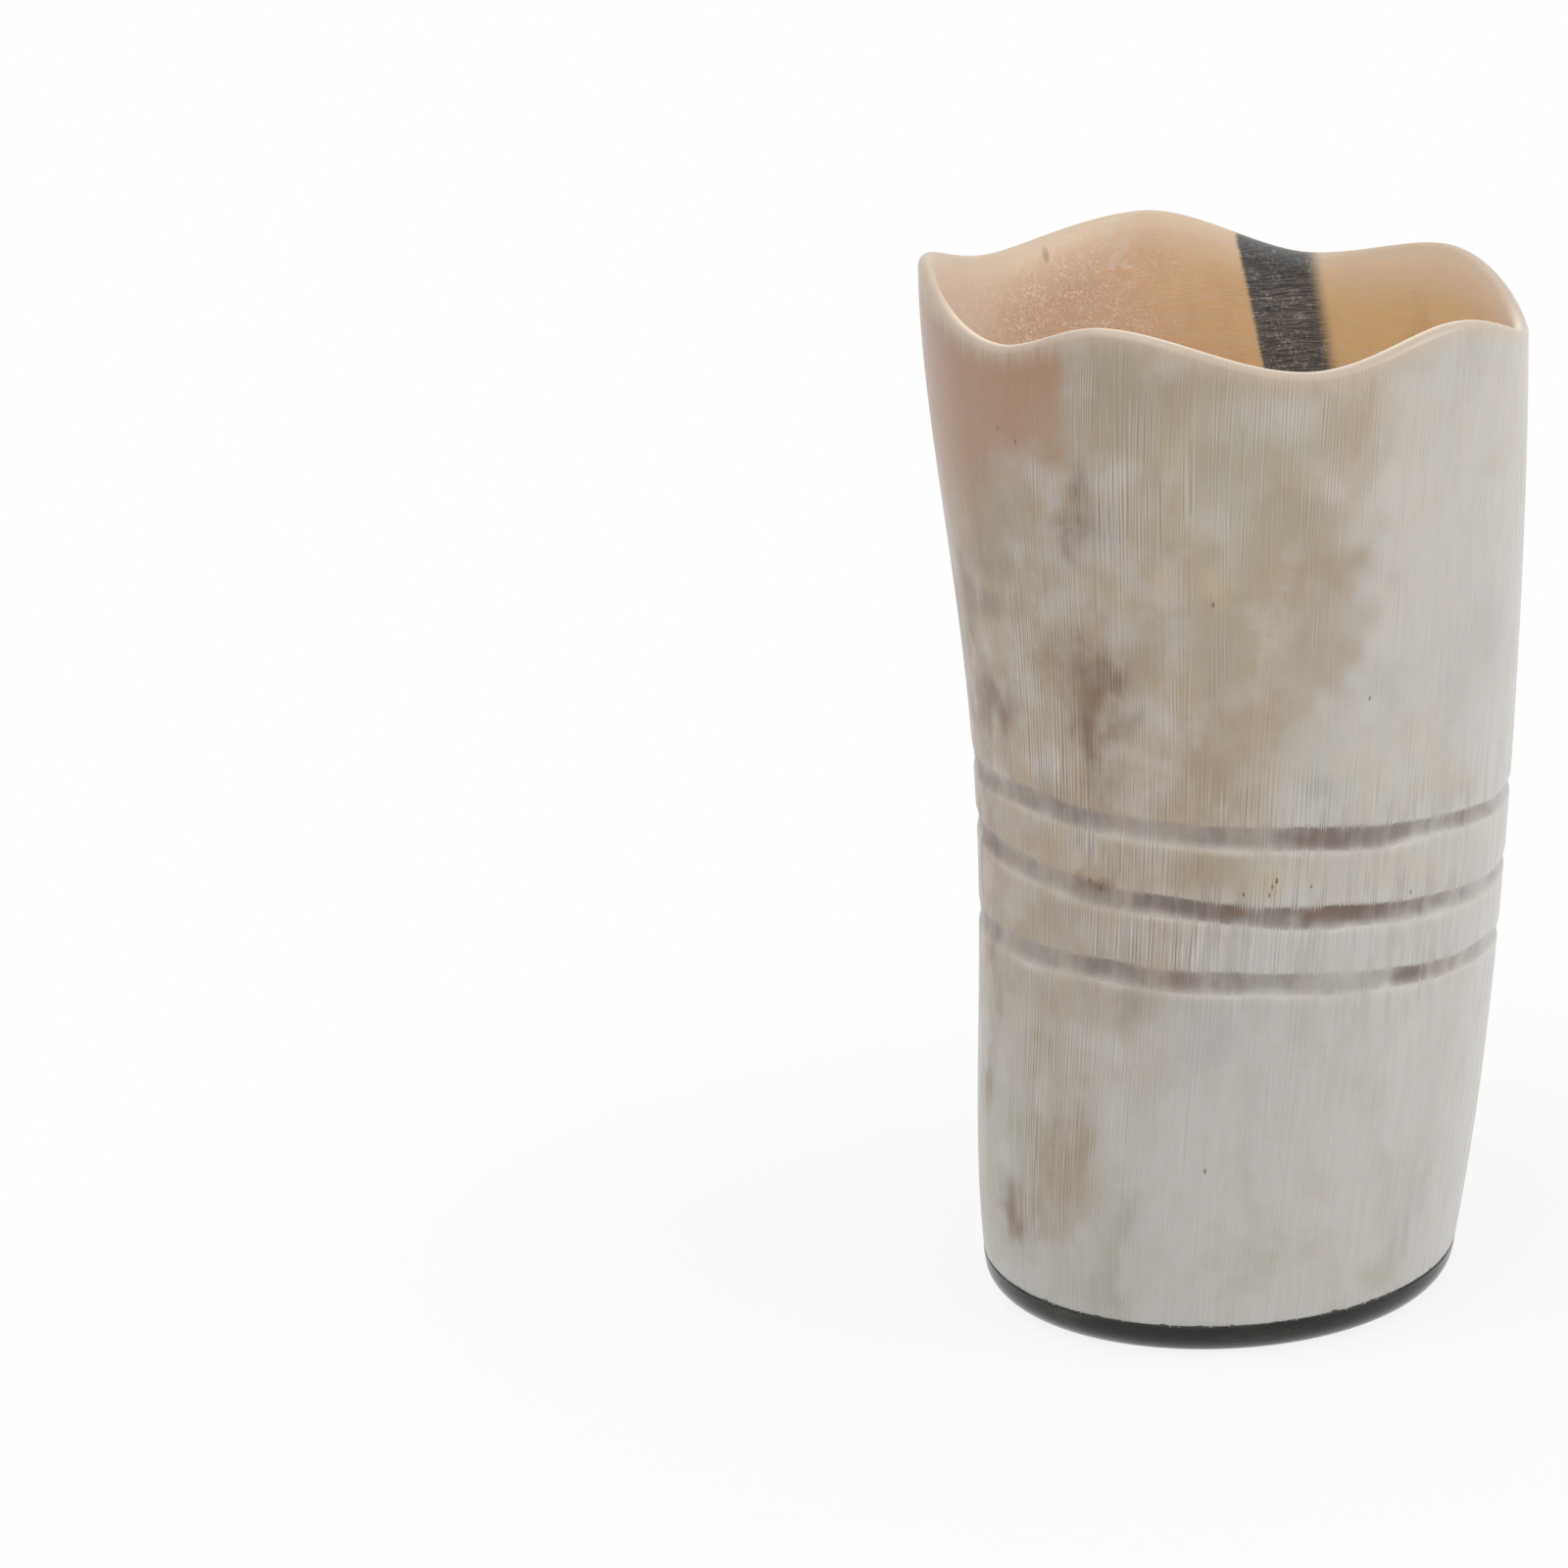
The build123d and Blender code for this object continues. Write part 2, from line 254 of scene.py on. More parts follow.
class HornTones(bpy.types.PropertyGroup):
    """Colours of the horn, the base and the glue."""

    beige: tone("Beige", "Main colour of the upper horn", (0.445, 0.355, 0.256))
    pale_grey: tone("Pale Grey", "Main colour of the lower horn", (0.53, 0.513, 0.482))
    tan: tone("Tan", "Warm blotches", (0.38, 0.305, 0.22))
    # Brown also paints shade along the -X edge, through its marks there
    brown: tone("Brown", "Dark blotches", (0.20, 0.118, 0.072))
    olive: tone("Olive", "Greenish, clearer patches", (0.40, 0.365, 0.285))
    yellow: tone("Yellow", "Yellowish blotches", (0.52, 0.43, 0.29))
    white: tone("White", "Whitish patches of open fibre", (0.58, 0.552, 0.526))
    grey: tone("Grey", "Grey streaks", (0.39, 0.375, 0.355))
    peach: tone("Peach", "Clear horn below the rim", (0.41, 0.252, 0.161))
    groove: tone("Groove", "Floor of the grooves", (0.385, 0.345, 0.32))
    stain: tone("Stain", "Dark horn laid bare in the grooves", (0.165, 0.122, 0.10))
    # Painted highlight along the lower lip of each groove, where the steep lower wall faces the light
    lip: tone("Lip", "Pale lower lip of the grooves", (0.66, 0.63, 0.58))
    rim: tone("Rim", "Clear band along the rim", (0.53, 0.445, 0.355))
    # Painted glow: a bright line along the front half of the rim, standing for light that comes through the
    # thin horn
    rim_edge: tone("Rim Edge", "Thin bright edge of the rim", (1.0, 0.88, 0.72))
    # Painted shade: both cap tones are darker than the horn beside them, to cancel the extra light that the
    # up-facing top of the rim catches
    rim_cap: tone("Rim Cap", "Rounded top of the rim", (0.50, 0.43, 0.35))
    inside_cap: tone("Inside Cap", "Inner half of the rounded top", (0.60, 0.485, 0.365))
    # Painted glow: the inside's main tones are lighter than the horn itself, most toward +X, standing for
    # light that comes through the thin wall into the shaded inside
    inside_left: tone("Inside Left", "Inside toward -X", (0.72, 0.457, 0.288))
    inside_right_glow: tone("Inside Right", "Inside toward +X", (0.845, 0.60, 0.285))
    inside_deep: tone("Inside Deep", "Clearer, deeper places of the inside", (0.66, 0.40, 0.21))
    inside_rim: tone("Inside Rim", "Paler inside just below the rim", (0.87, 0.765, 0.60))
    bloom: tone("Bloom", "Whitish bloom on the inside", (0.80, 0.68, 0.58))
    scuff: tone("Scuff", "Fine scratches on the inside", (0.74, 0.70, 0.65))
    stripe: tone("Stripe", "Charcoal stripe on the inside", (0.066, 0.069, 0.073))
    speck: tone("Speck", "Small specks", (0.16, 0.07, 0.03))
    base: tone("Base", "Black horn of the base", (0.009, 0.009, 0.008))
    base_streak: tone("Base Streak", "Olive streaks of the base", (0.07, 0.062, 0.04))
    # Paler olive on the base's lower edge, strongest toward -X: part olive horn, part painted highlight
    base_olive_edge: tone("Base Worn", "Worn lower edge of the base", (0.15, 0.145, 0.115))
    base_scuff: tone("Base Scuff", "Fine scratches of the base", (0.10, 0.098, 0.09))
    glue: tone("Glue", "Set glue in the seam", (0.05, 0.042, 0.035))
    glue_grit: tone("Glue Grit", "Pale horn dust caught in the glue", (0.40, 0.35, 0.28))


class StageSettings(bpy.types.PropertyGroup):
    """Camera, floor and light of the studio."""

    camera_place: lengths("Camera Place", "Where the camera stands", (9.19 * MM, -592.9 * MM, 243.4 * MM))
    camera_yaw: angle("Camera Yaw", "Turn of the camera toward +X", -5.647)
    camera_pitch: angle("Camera Pitch", "Tilt of the camera above level", -16.739)
    camera_roll: angle("Camera Roll", "Turn of the camera about its line of sight", -3.649)
    lens: share("Lens", "Focal length in mm on a sensor 36 mm wide", 119.09)
    floor_tone: tone("Floor", "Pale floor", (0.86, 0.86, 0.86))
    floor_size: length("Floor Size", "Length of each side of the floor", 8.0)
    shadow_reach: length("Shadow Reach", "How far from the cup the floor still shows shade", 0.16)
    world_strength: share("World Strength", "Level of the even light from all round", 0.5)
    key_power: share("Key Power", "Power of the soft light on the +X side, in watts", 4.05)
    top_power: share("Top Power", "Power of the soft light overhead, in watts", 4.4)
    fill_power: share("Fill Power", "Power of the soft light at the front, in watts", 0.8)


def smooth_step(value):
    """The usual smooth step of a share from 0 to 1."""
    part = np.clip(value, 0.0, 1.0)
    return part * part * (3.0 - 2.0 * part)


# Irregular lines round the cup, by name: a seed, and the numbers of waves in a turn that each is made of
RIPPLES = {
    "groove_waver": (10, (4, 7, 11)),
    "groove_depth": (20, (3, 7, 11, 17, 29)),
    "groove_width": (30, (4, 9, 15)),
    "scraping": (40, (6, 9, 14)),
    "finer_scraping": (41, (17, 26)),
    "chips": (50, (43, 67, 97, 131)),
    "glue": (60, (21, 37, 52)),
    "rim_band": (70, (61, 97, 151, 199)),
}


def ripple(turn, name, number=0):
    """A smooth irregular line round the cup, from about -1 to 1, the same each time for a name and number."""
    seed, waves = RIPPLES[name]
    phases = np.random.default_rng(seed + number).uniform(0.0, TURN, len(waves))
    total = sum(np.sin(count * turn + phase) for count, phase in zip(waves, phases))
    return total / math.sqrt(len(waves))


def turn_between(turn, degrees):
    """Signed angle from a mark to a place on the cup, the short way round."""
    return np.mod(turn - math.radians(degrees) + math.pi, TURN) - math.pi


class HornShape:
    """The horn's outside, inside, seam, rim and grooves as functions of angle and height.

    Angles are in radians from the front toward +X, and heights are in metres above the underside.
    """

    # Slope of the horn's lean on its base, and how far above the underside its marks are measured from
    lean = 0.0367
    marks_start = 0.7 * MM

    # Grooves: the share of their width above their deepest line, and the softness of the painted highlight on
    # their lower lip
    upper_wall_share = 0.54
    lip_highlight_softness = 0.6 * MM

    # How far the grooves lie below their planes, how much further toward +X, and how far they waver
    groove_drop = 0.35 * MM
    groove_drop_side = 0.2 * MM
    groove_waver = 0.15 * MM

    # Depth of the grooves as a share of their full depth: its mean, its changes and its least
    depth_mean, depth_change, depth_least = 0.62, 0.2, 0.3

    # Width of the grooves as a share of their full width: its mean, its loss toward +X and its changes
    width_mean, width_loss_side, width_change = 1.02, 0.14, 0.07

    # Where the grooves are wider, and how far that spreads
    bulge_degrees = 19
    bulge_spread = math.radians(13)

    # Flats left by a scraper: their depth, how far they drift sideways and over what height, and the share
    # of the finer ones
    scrape_depth = 0.05 * MM
    scrape_drift = 0.03
    scrape_wave = 31 * MM
    scrape_finer = 0.6

    # Chips along the lower edge: their depth, and the level of the irregular line at which they start
    chip_depth = 0.30 * MM
    chip_level = 0.7

    def __init__(self, sizes):
        self.sizes = sizes
        highest = max(rise for degrees, rise in RIM_WAVE) * MM
        self.top = sizes.rim_height + highest + sizes.rim_spare
        levels = np.linspace(0.0, self.top, len(sizes.widths))
        order = len(levels) - 1
        self.half_width = np.poly1d(np.polyfit(levels, np.array(sizes.widths) / 2.0, order))
        self.bow = np.poly1d(np.polyfit(levels, np.array(sizes.bows), order))
        self.seat = self.half_width(sizes.seam_height) - self.wall(sizes.seam_height) + sizes.seat_ledge

    def wall(self, height):
        """Thickness of the horn at a height."""
        return self.sizes.foot_wall + (self.sizes.mouth_wall - self.sizes.foot_wall) * height / self.top

    def point(self, turn, height, reach):
        """A point at a distance from the horn's own middle line."""
        x = self.bow(height) + reach * np.sin(turn)
        y = -reach * self.sizes.ovalness * np.cos(turn)
        return np.stack(np.broadcast_arrays(x, y, height), axis=-1)

    def along(self, turn, height):
        """Height along the leaning horn, by which its marks are placed."""
        return height - self.marks_start + self.lean * self.half_width(height) * np.sin(turn)

    def seam(self, turn, reach=None):
        """Height of the seam's tilted plane, at the outside or at a distance from the middle line."""
        edge = self.half_width(self.sizes.seam_height)
        part = 1.0 if reach is None else reach / edge
        return self.sizes.seam_height - part * self.sizes.seam_rise * np.cos(turn)

    def rim(self, turn):
        """Height of the rim, level at each crest and dip."""
        turns = np.radians([degrees for degrees, rise in RIM_WAVE])
        rises = np.array([rise for degrees, rise in RIM_WAVE]) * MM
        turns = np.append(turns, turns[0] + TURN)
        rises = np.append(rises, rises[0])
        place = turns[0] + np.mod(turn - turns[0], TURN)
        after = np.clip(np.searchsorted(turns, place, side="right"), 1, len(turns) - 1)
        before = after - 1
        part = smooth_step((place - turns[before]) / (turns[after] - turns[before]))
        return self.sizes.rim_height + rises[before] + (rises[after] - rises[before]) * part

    def groove_lines(self, turn):
        """Middle height, depth and width of each groove, with the wander of a hand-held tool."""
        lines = []
        bulge = np.exp(-((turn_between(turn, self.bulge_degrees) / self.bulge_spread) ** 2))
        for number, (height, rise_side, rise_back, wider) in enumerate(GROOVES):
            line = (height + rise_side * np.sin(turn) - rise_back * np.cos(turn)) * MM
            line = line - self.groove_drop - self.groove_drop_side * np.sin(turn)
            line = line + self.groove_waver * ripple(turn, "groove_waver", number)
            depth = self.depth_mean + self.depth_change * ripple(turn, "groove_depth", number)
            width = self.width_mean - self.width_loss_side * np.sin(turn) + wider * bulge
            width = width + self.width_change * ripple(turn, "groove_width", number)
            lines.append((line, np.clip(depth, self.depth_least, 1.0), width))
        return lines

    def groove_share(self, turn, height):
        """How deep in a groove a place lies: a gentle upper wall and a steep lower one."""
        upper = self.upper_wall_share * self.sizes.groove_width
        lower = self.sizes.groove_width - upper
        total = np.zeros(np.broadcast(turn, height).shape)
        for line, depth, width in self.groove_lines(turn):
            gap = height - line
            side = np.where(gap > 0.0, upper, lower) * width
            bowl = np.clip(1.0 - (gap / side) ** 2, 0.0, 1.0)
            total = np.maximum(total, depth * bowl)
        return total

    def lip_highlight_share(self, turn, height):
        """How near a place lies to the lower lip of a groove, where a highlight is painted."""
        lower = (1.0 - self.upper_wall_share) * self.sizes.groove_width
        total = np.zeros(np.broadcast(turn, height).shape)
        for line, depth, width in self.groove_lines(turn):
            gap = height - (line - lower * width)
            total = np.maximum(total, depth * np.exp(-((gap / self.lip_highlight_softness) ** 2)))
        return total

    def scraping(self, turn, height):
        """Shallow flats that a scraper leaves along the horn, never standing proud of it."""
        drift = self.scrape_drift * np.sin(height / self.scrape_wave)
        flats = ripple(turn + drift, "scraping") + self.scrape_finer * ripple(turn - drift, "finer_scraping")
        return self.scrape_depth * (0.5 - 0.25 * np.clip(flats, -2.0, 2.0))

    def outside(self, turn, height):
        """Distance of the worked outside from the middle line."""
        groove = self.sizes.groove_depth * self.groove_share(turn, height)
        return self.half_width(height) - groove - self.scraping(turn, height)

    def inside(self, height):
        """Distance of the inside from the middle line."""
        return self.half_width(height) - self.wall(height)

    def chips(self, turn):
        """Small chips along the horn's lower edge."""
        return self.chip_depth * np.clip(ripple(turn, "chips") - self.chip_level, 0.0, 1.0)


def worn_edge(gap, rounding):
    """How far a rounded edge stands back, at a distance along the face that it ends."""
    left = np.clip(1.0 - gap / rounding, 0.0, 1.0)
    return rounding * (1.0 - np.sqrt(1.0 - left * left))


# Edges of a mesh that bend more than this stay sharp
SHARP_ANGLE = math.radians(50)


def ring_mesh(name, rows, closed):
    """A mesh from rows of points round the cup.

    A closed mesh joins its last row to its first, and an open one is capped at both ends.
    """
    row_count, columns = rows.shape[:2]
    points = rows.reshape(-1, 3)
    here = np.arange(columns)
    after = np.roll(here, -1)
    faces = []
    for row in range(row_count if closed else row_count - 1):
        low = row * columns
        high = (row + 1) % row_count * columns
        quads = np.stack((low + here, low + after, high + after, high + here), axis=1)
        faces.extend(quads.tolist())
    if not closed:
        first, last = len(points), len(points) + 1
        points = np.vstack((points, rows[0].mean(axis=0), rows[-1].mean(axis=0)))
        end = (row_count - 1) * columns
        edges = list(zip(here.tolist(), after.tolist()))
        faces.extend([first, step_on, step] for step, step_on in edges)
        faces.extend([end + step, end + step_on, last] for step, step_on in edges)
    mesh = bpy.data.meshes.new(name)
    mesh.from_pydata(points.tolist(), [], faces)
    mesh.shade_smooth()
    mesh.set_sharp_from_angle(angle=SHARP_ANGLE)
    return mesh


def store(mesh, name, values):
    """Keeps a value or a vector for each point of a mesh, for its material to read."""
    values = np.asarray(values, dtype=np.float32)
    kind, field = ("FLOAT", "value") if values.size == len(mesh.vertices) else ("FLOAT_VECTOR", "vector")
    attribute = mesh.attributes.new(name, kind, "POINT")
    attribute.data.foreach_set(field, values.ravel())


def place_piece(mesh, node, material):
    """Puts a finished mesh in the scene in place of its plain solid."""
    mesh.materials.append(material)
    piece = bpy.data.objects.new(mesh.name, mesh)
    bpy.context.scene.collection.objects.link(piece)
    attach(piece, "root")
    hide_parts(node)
    return piece


# Radius of the straight tube that the horn's grain is laid out on
GRAIN_RADIUS = 32.0 * MM

# How fast the grain turns toward +X up the horn at one height, in radians for each metre, and how much
# faster it turns a metre further up
TWIST_HEIGHT = 85 * MM
GRAIN_TWIST = 2.0
TWIST_GROWTH = 22.0

# How far the inside's grain is taken from the outside's, so that no pattern shows on both
INSIDE_SHIFT = 0.4

# Where the wall's mesh and its unrolled surface start: the inside there faces away from the camera
START_TURN = math.radians(-330)


def even_turns(columns):
    """Angles round the cup, one for each column of a mesh."""
    return np.linspace(START_TURN, START_TURN + TURN, columns, endpoint=False)


def grain_space(turn, height):
    """Where a place lies in the horn's grain, as if the horn were a straight tube."""
    x = GRAIN_RADIUS * np.sin(turn)
    y = -GRAIN_RADIUS * np.cos(turn)
    return np.stack(np.broadcast_arrays(x, y, height), axis=-1)


def twisted_space(turn, height, shift=0.0):
    """Where a place lies in the horn's grain, which twists a little up the horn."""
    up = height - TWIST_HEIGHT
    return grain_space(turn - (GRAIN_TWIST + TWIST_GROWTH * up / 2.0) * up, height + shift)


def unrolled_space(turn, height, start):
    """Where a place lies on the surface, as if it were slit at an angle and laid flat."""
    x = GRAIN_RADIUS * (start + np.mod(turn - start, TURN))
    return np.stack(np.broadcast_arrays(x, height, 0.0), axis=-1)


# Waves of an irregular pattern, and the least and greatest share that their size has of the pattern's
WANDER_WAVES = 12
WANDER_SIZES = (0.6, 1.6)


def wander(place, seed, size):
    """Smooth irregular waves through space, about -1 to 1, of about one size."""
    random = np.random.default_rng(seed)
    total = np.zeros(place.shape[:-1])
    for _ in range(WANDER_WAVES):
        direction = random.normal(size=3)
        stride = size * random.uniform(*WANDER_SIZES) * np.linalg.norm(direction)
        total = total + np.sin(place @ direction * TURN / stride + random.uniform(0.0, TURN))
    return total / math.sqrt(WANDER_WAVES)


# Bends of the marks' outlines: seeds of those across and along the horn, and the strength and size of the
# waves that each is made of
BEND_SEEDS = (80, 82)
BEND_WAVES = ((0.15, 11 * MM), (0.35, 4 * MM))

# How fast a mark fades from its middle
MARK_FALL = 0.7


def paint_marks(marks, turn, height, bends):
    """Soft blotches at the places of the marks, bent so that none is a plain oval."""
    total = np.zeros(turn.shape)
    for degrees, mark_height, half_width, half_height, strength in marks:
        across = turn_between(turn, degrees) * GRAIN_RADIUS / (half_width * MM) + bends[0]
        along = (height - mark_height * MM) / (half_height * MM) + bends[1]
        blotch = strength * np.exp(-MARK_FALL * (across ** 2 + along ** 2))
        total = total + blotch - total * blotch
    return total


# Border of the pale grey tone: angles from the front toward +X in degrees, and heights in mm
PALE_DEGREES = (-180, -70, -24, -8, 6, 14, 24, 34, 55, 90, 140, 180)
PALE_HEIGHTS = (40, 40, 44, 55, 72, 85, 105, 123, 148, 124, 60, 40)
PALE_SOFTNESS = 38 * MM

# Borders of the peach corner: two angles in degrees, the height of its lower edge, the angle from which
# that edge climbs toward the right and its slope there, the softness of its edges, and how far they bend
PEACH_RIGHT = -28
PEACH_LEFT = -116
PEACH_LOW = 92 * MM
PEACH_CLIMB_FROM = -62
PEACH_SLOPE = 0.75
PEACH_EDGE = 3.4 * MM
PEACH_FADE = 14 * MM
PEACH_BENDS = (0.3, 0.4)

# Charcoal stripe on the inside: the angle of its middle in degrees and its half-width, both at the rim, how
# fast it narrows and its least half-width, its lean at the rim and the depth over which it straightens
STRIPE_MIDDLE = 169.6
STRIPE_HALF_WIDTH = 4.6 * MM
STRIPE_TAPER = 0.01
STRIPE_NARROWEST = 2.3 * MM
STRIPE_LEAN = 0.185
STRIPE_BEND = 60 * MM

# Depths between which the stripe fades and how much of it does, its two edges, the fraying of the crisp one,
# and how far inside the stripe they are measured
STRIPE_FADE_FROM = 40 * MM
STRIPE_FADE_TO = 100 * MM
STRIPE_FADE = 0.5
STRIPE_CRISP_EDGE = 0.6 * MM
STRIPE_SOFT_EDGE = 2.6 * MM
STRIPE_FRAY = 0.15 * MM
STRIPE_REACH = 3.0 * MM

# Clear bands below the rim: height of the outer one and how ragged its lower edge is, height of the inner one
# and how much taller it is at the cup's two sides, its strength at front and back, and where the sides start
# Painted light: the inner band's extra height and strength at the two sides lighten the inner face where it
# lies in shade
RIM_BAND = 3.2 * MM
RIM_RAGGED = 0.5 * MM
INNER_BAND = 7.0 * MM
INNER_BAND_TALLER = 0.35
INNER_BAND_LEAST = 0.8
SIDES_FROM, SIDES_FULL = 0.3, 0.9


def paint_stripe(shape, turn, height):
    """How far a place lies inside the stripe's crisp and soft edges, and the stripe's strength there."""
    down = shape.sizes.rim_height - height
    half_width = np.clip(STRIPE_HALF_WIDTH - STRIPE_TAPER * down, STRIPE_NARROWEST, None)
    lean = STRIPE_LEAN * STRIPE_BEND * (1.0 - np.exp(-down / STRIPE_BEND))
    across = turn_between(turn, STRIPE_MIDDLE) * shape.inside(height) + lean
    faded = smooth_step((down - STRIPE_FADE_FROM) / (STRIPE_FADE_TO - STRIPE_FADE_FROM))
    crisp = np.minimum(half_width - across, STRIPE_REACH)
    soft = np.minimum(half_width + across, STRIPE_REACH)
    return crisp, soft, 1.0 - STRIPE_FADE * faded


def paint_pale(turn, height):
    """Share of the pale grey tone, which lies below a border that climbs toward the +X side."""
    border = np.interp(np.degrees(turn_between(turn, 0)), PALE_DEGREES, PALE_HEIGHTS) * MM
    return smooth_step((border - height) / PALE_SOFTNESS + 0.5)


def paint_peach(turn, along, bends):
    """Share of the clear peach tone, which fills the corner toward -X below the rim."""
    right = -turn_between(turn, PEACH_RIGHT) * GRAIN_RADIUS / PEACH_EDGE + PEACH_BENDS[0] * bends[0]
    left = turn_between(turn, PEACH_LEFT) * GRAIN_RADIUS / PEACH_FADE
    climb = PEACH_SLOPE * GRAIN_RADIUS * np.clip(turn_between(turn, PEACH_CLIMB_FROM), 0.0, None)
    low = (along - PEACH_LOW - climb) / PEACH_FADE + PEACH_BENDS[1] * bends[1]
    return smooth_step(right) * smooth_step(left) * smooth_step(low)


def paint_horn(mesh, shape, turn, height, inside, rim_cap, rim_edge):
    """Stores everything that the horn's material reads, for each point of the wall."""
    down = shape.rim(turn) - height
    along = shape.along(turn, height)
    ragged = RIM_RAGGED * ripple(turn, "rim_band")
    outer_band = 1.0 - smooth_step((down + ragged) / RIM_BAND)
    # The inner band is paler horn, and taller and stronger at the sides as painted light on the shaded inner
    # face
    sides = smooth_step((np.abs(np.sin(turn)) - SIDES_FROM) / (SIDES_FULL - SIDES_FROM))
    inner_band = 1.0 - smooth_step(down / (INNER_BAND * (1.0 + INNER_BAND_TALLER * sides)))
    inner_band = inner_band * (INNER_BAND_LEAST + (1.0 - INNER_BAND_LEAST) * sides)
    place = grain_space(turn, along)
    bends = []
    for seed in BEND_SEEDS:
        bend = 0.0
        for number, (weight, size) in enumerate(BEND_WAVES):
            bend = bend + weight * wander(place, seed + number, size)
        bends.append(bend)
    outside = 1.0 - inside
    values = {
        "grain_place": twisted_space(turn, along, INSIDE_SHIFT * inside).reshape(-1, 3),
        "unrolled": unrolled_space(turn, along, START_TURN).reshape(-1, 3),
        "inside": inside,
        "rim_cap": rim_cap,
        "rim_edge": rim_edge,
        "rim_band": np.where(inside > 0.5, inner_band, outer_band),
        "groove": shape.groove_share(turn, height) * outside,
        "lip": shape.lip_highlight_share(turn, height) * outside,
        "pale": paint_pale(turn, along),
        "peach": paint_peach(turn, along, bends) * outside,
    }
    values["stripe_crisp"], values["stripe_soft"], values["stripe"] = paint_stripe(shape, turn, height)
    for name, marks in MARKS.items():
        values[name] = paint_marks(marks, turn, along, bends) * outside
    for name, value in values.items():
        store(mesh, name, value)


# Soft clouds, by kind: size round the cup and size up it in mm, and the levels of their noise at which they
# start and are full
CLOUDS = {
    "mark_edges": (5.0, 9.0, 0.3, 0.7),
    "veil": (5.5, 6.0, 0.44, 0.64),
    "warm": (6.0, 7.0, 0.46, 0.66),
    "deep": (7.0, 9.0, 0.4, 0.7),
    "bloom": (5.0, 5.0, 0.4, 0.6),
    "patches": (1.5, 1.2, 0.42, 0.62),
    "grain": (0.36, 0.36, 0.46, 0.64),
    "base_streak": (11.0, 3.0, 0.56, 0.74),
    "glue_grit": (0.6, 0.6, 0.58, 0.66),
}

# Fibres, by kind: spacing and length in mm
FIBRES = {"fine": (0.37, 9.0), "broad": (0.53, 14.0), "base": (0.8, 6.0)}

# Fine scratches, by kind: direction in degrees, width in mm and the level of their noise at which they start
FRAY = (5, 0.1, 0.45)
BASE_SCRATCH = (3, 0.12, 0.66)
INSIDE_SCRATCHES = (
    (8, 0.15, 0.54), (5, 0.15, 0.57), (12, 0.15, 0.59), (1, 0.15, 0.6), (-4, 0.15, 0.62),
    (56, 0.15, 0.69), (118, 0.15, 0.69),
)

# How far fibres and clouds break up the edge of each mark
BREAKING = {
    "pale": 0.35, "tan": 0.6, "olive": 0.6, "yellow": 0.6, "grey": 0.6, "white": 0.8,
    "peach": 0.5, "stain": 0.6, "brown": 0.8,
}

# Strengths of the finish, by effect: what a full fibre, cloud or mark adds, and what there is without it
STRENGTHS = {
    "upper_horn": (-0.7, 1.0),
    "veil": (0.5, 0.28),
    "warm": (0.7, 0.0),
    "white": (0.8, 0.2),
    "clear_horn": (0.9, 0.0),
    "fibre_height": (0.1, 0.9),
    "fibre_cloud": (0.8, 0.6),
    "fibre_combed": (4.2, 0.48),
    "fine_light": (0.13, -0.065),
    "broad_light": (0.14, -0.07),
    "hairs": (0.38, 0.0),
    "groove_combing": (0.4, -0.2),
    "groove_hairs": (-0.4, 1.0),
    "groove_cloud": (0.35, 0.34),
    "lip": (0.4, 0.3),
    "specks": (0.8, 0.0),
    "rim_band": (0.85, 0.0),
    "rim_edge": (0.8, 0.0),
    "deep": (0.5, 0.0),
    "inner_band": (0.95, 0.0),
    "grain": (1.0, 0.3),
    "open_wall": (0.8, 0.2),
    "dust_side": (0.92, 0.08),
    "dust_light": (0.36, 0.0),
    "bloom": (0.6, 0.25),
    "bloom_grain": (0.9, 0.1),
    "streaks": (0.4, 0.5),
    "stripe_grain": (0.13, 0.0),
    "scratches": (0.42, 0.0),
    "scratch_grain": (0.8, 0.5),
    "haze": (0.45, 0.0),
    "dent": (0.55, 0.0),
    "dent_depth": (6.0, 0.0),
    "horn_roughness": (0.08, 0.26),
    "base_streak": (0.6, 0.2),
    "base_olive_edge": (0.4, 0.6),
    "base_scratch": (0.3, 0.0),
    "base_roughness": (0.06, 0.16),
    "base_relief": (0.3, 0.0),
    "glue_roughness": (0.25, 0.4),
}


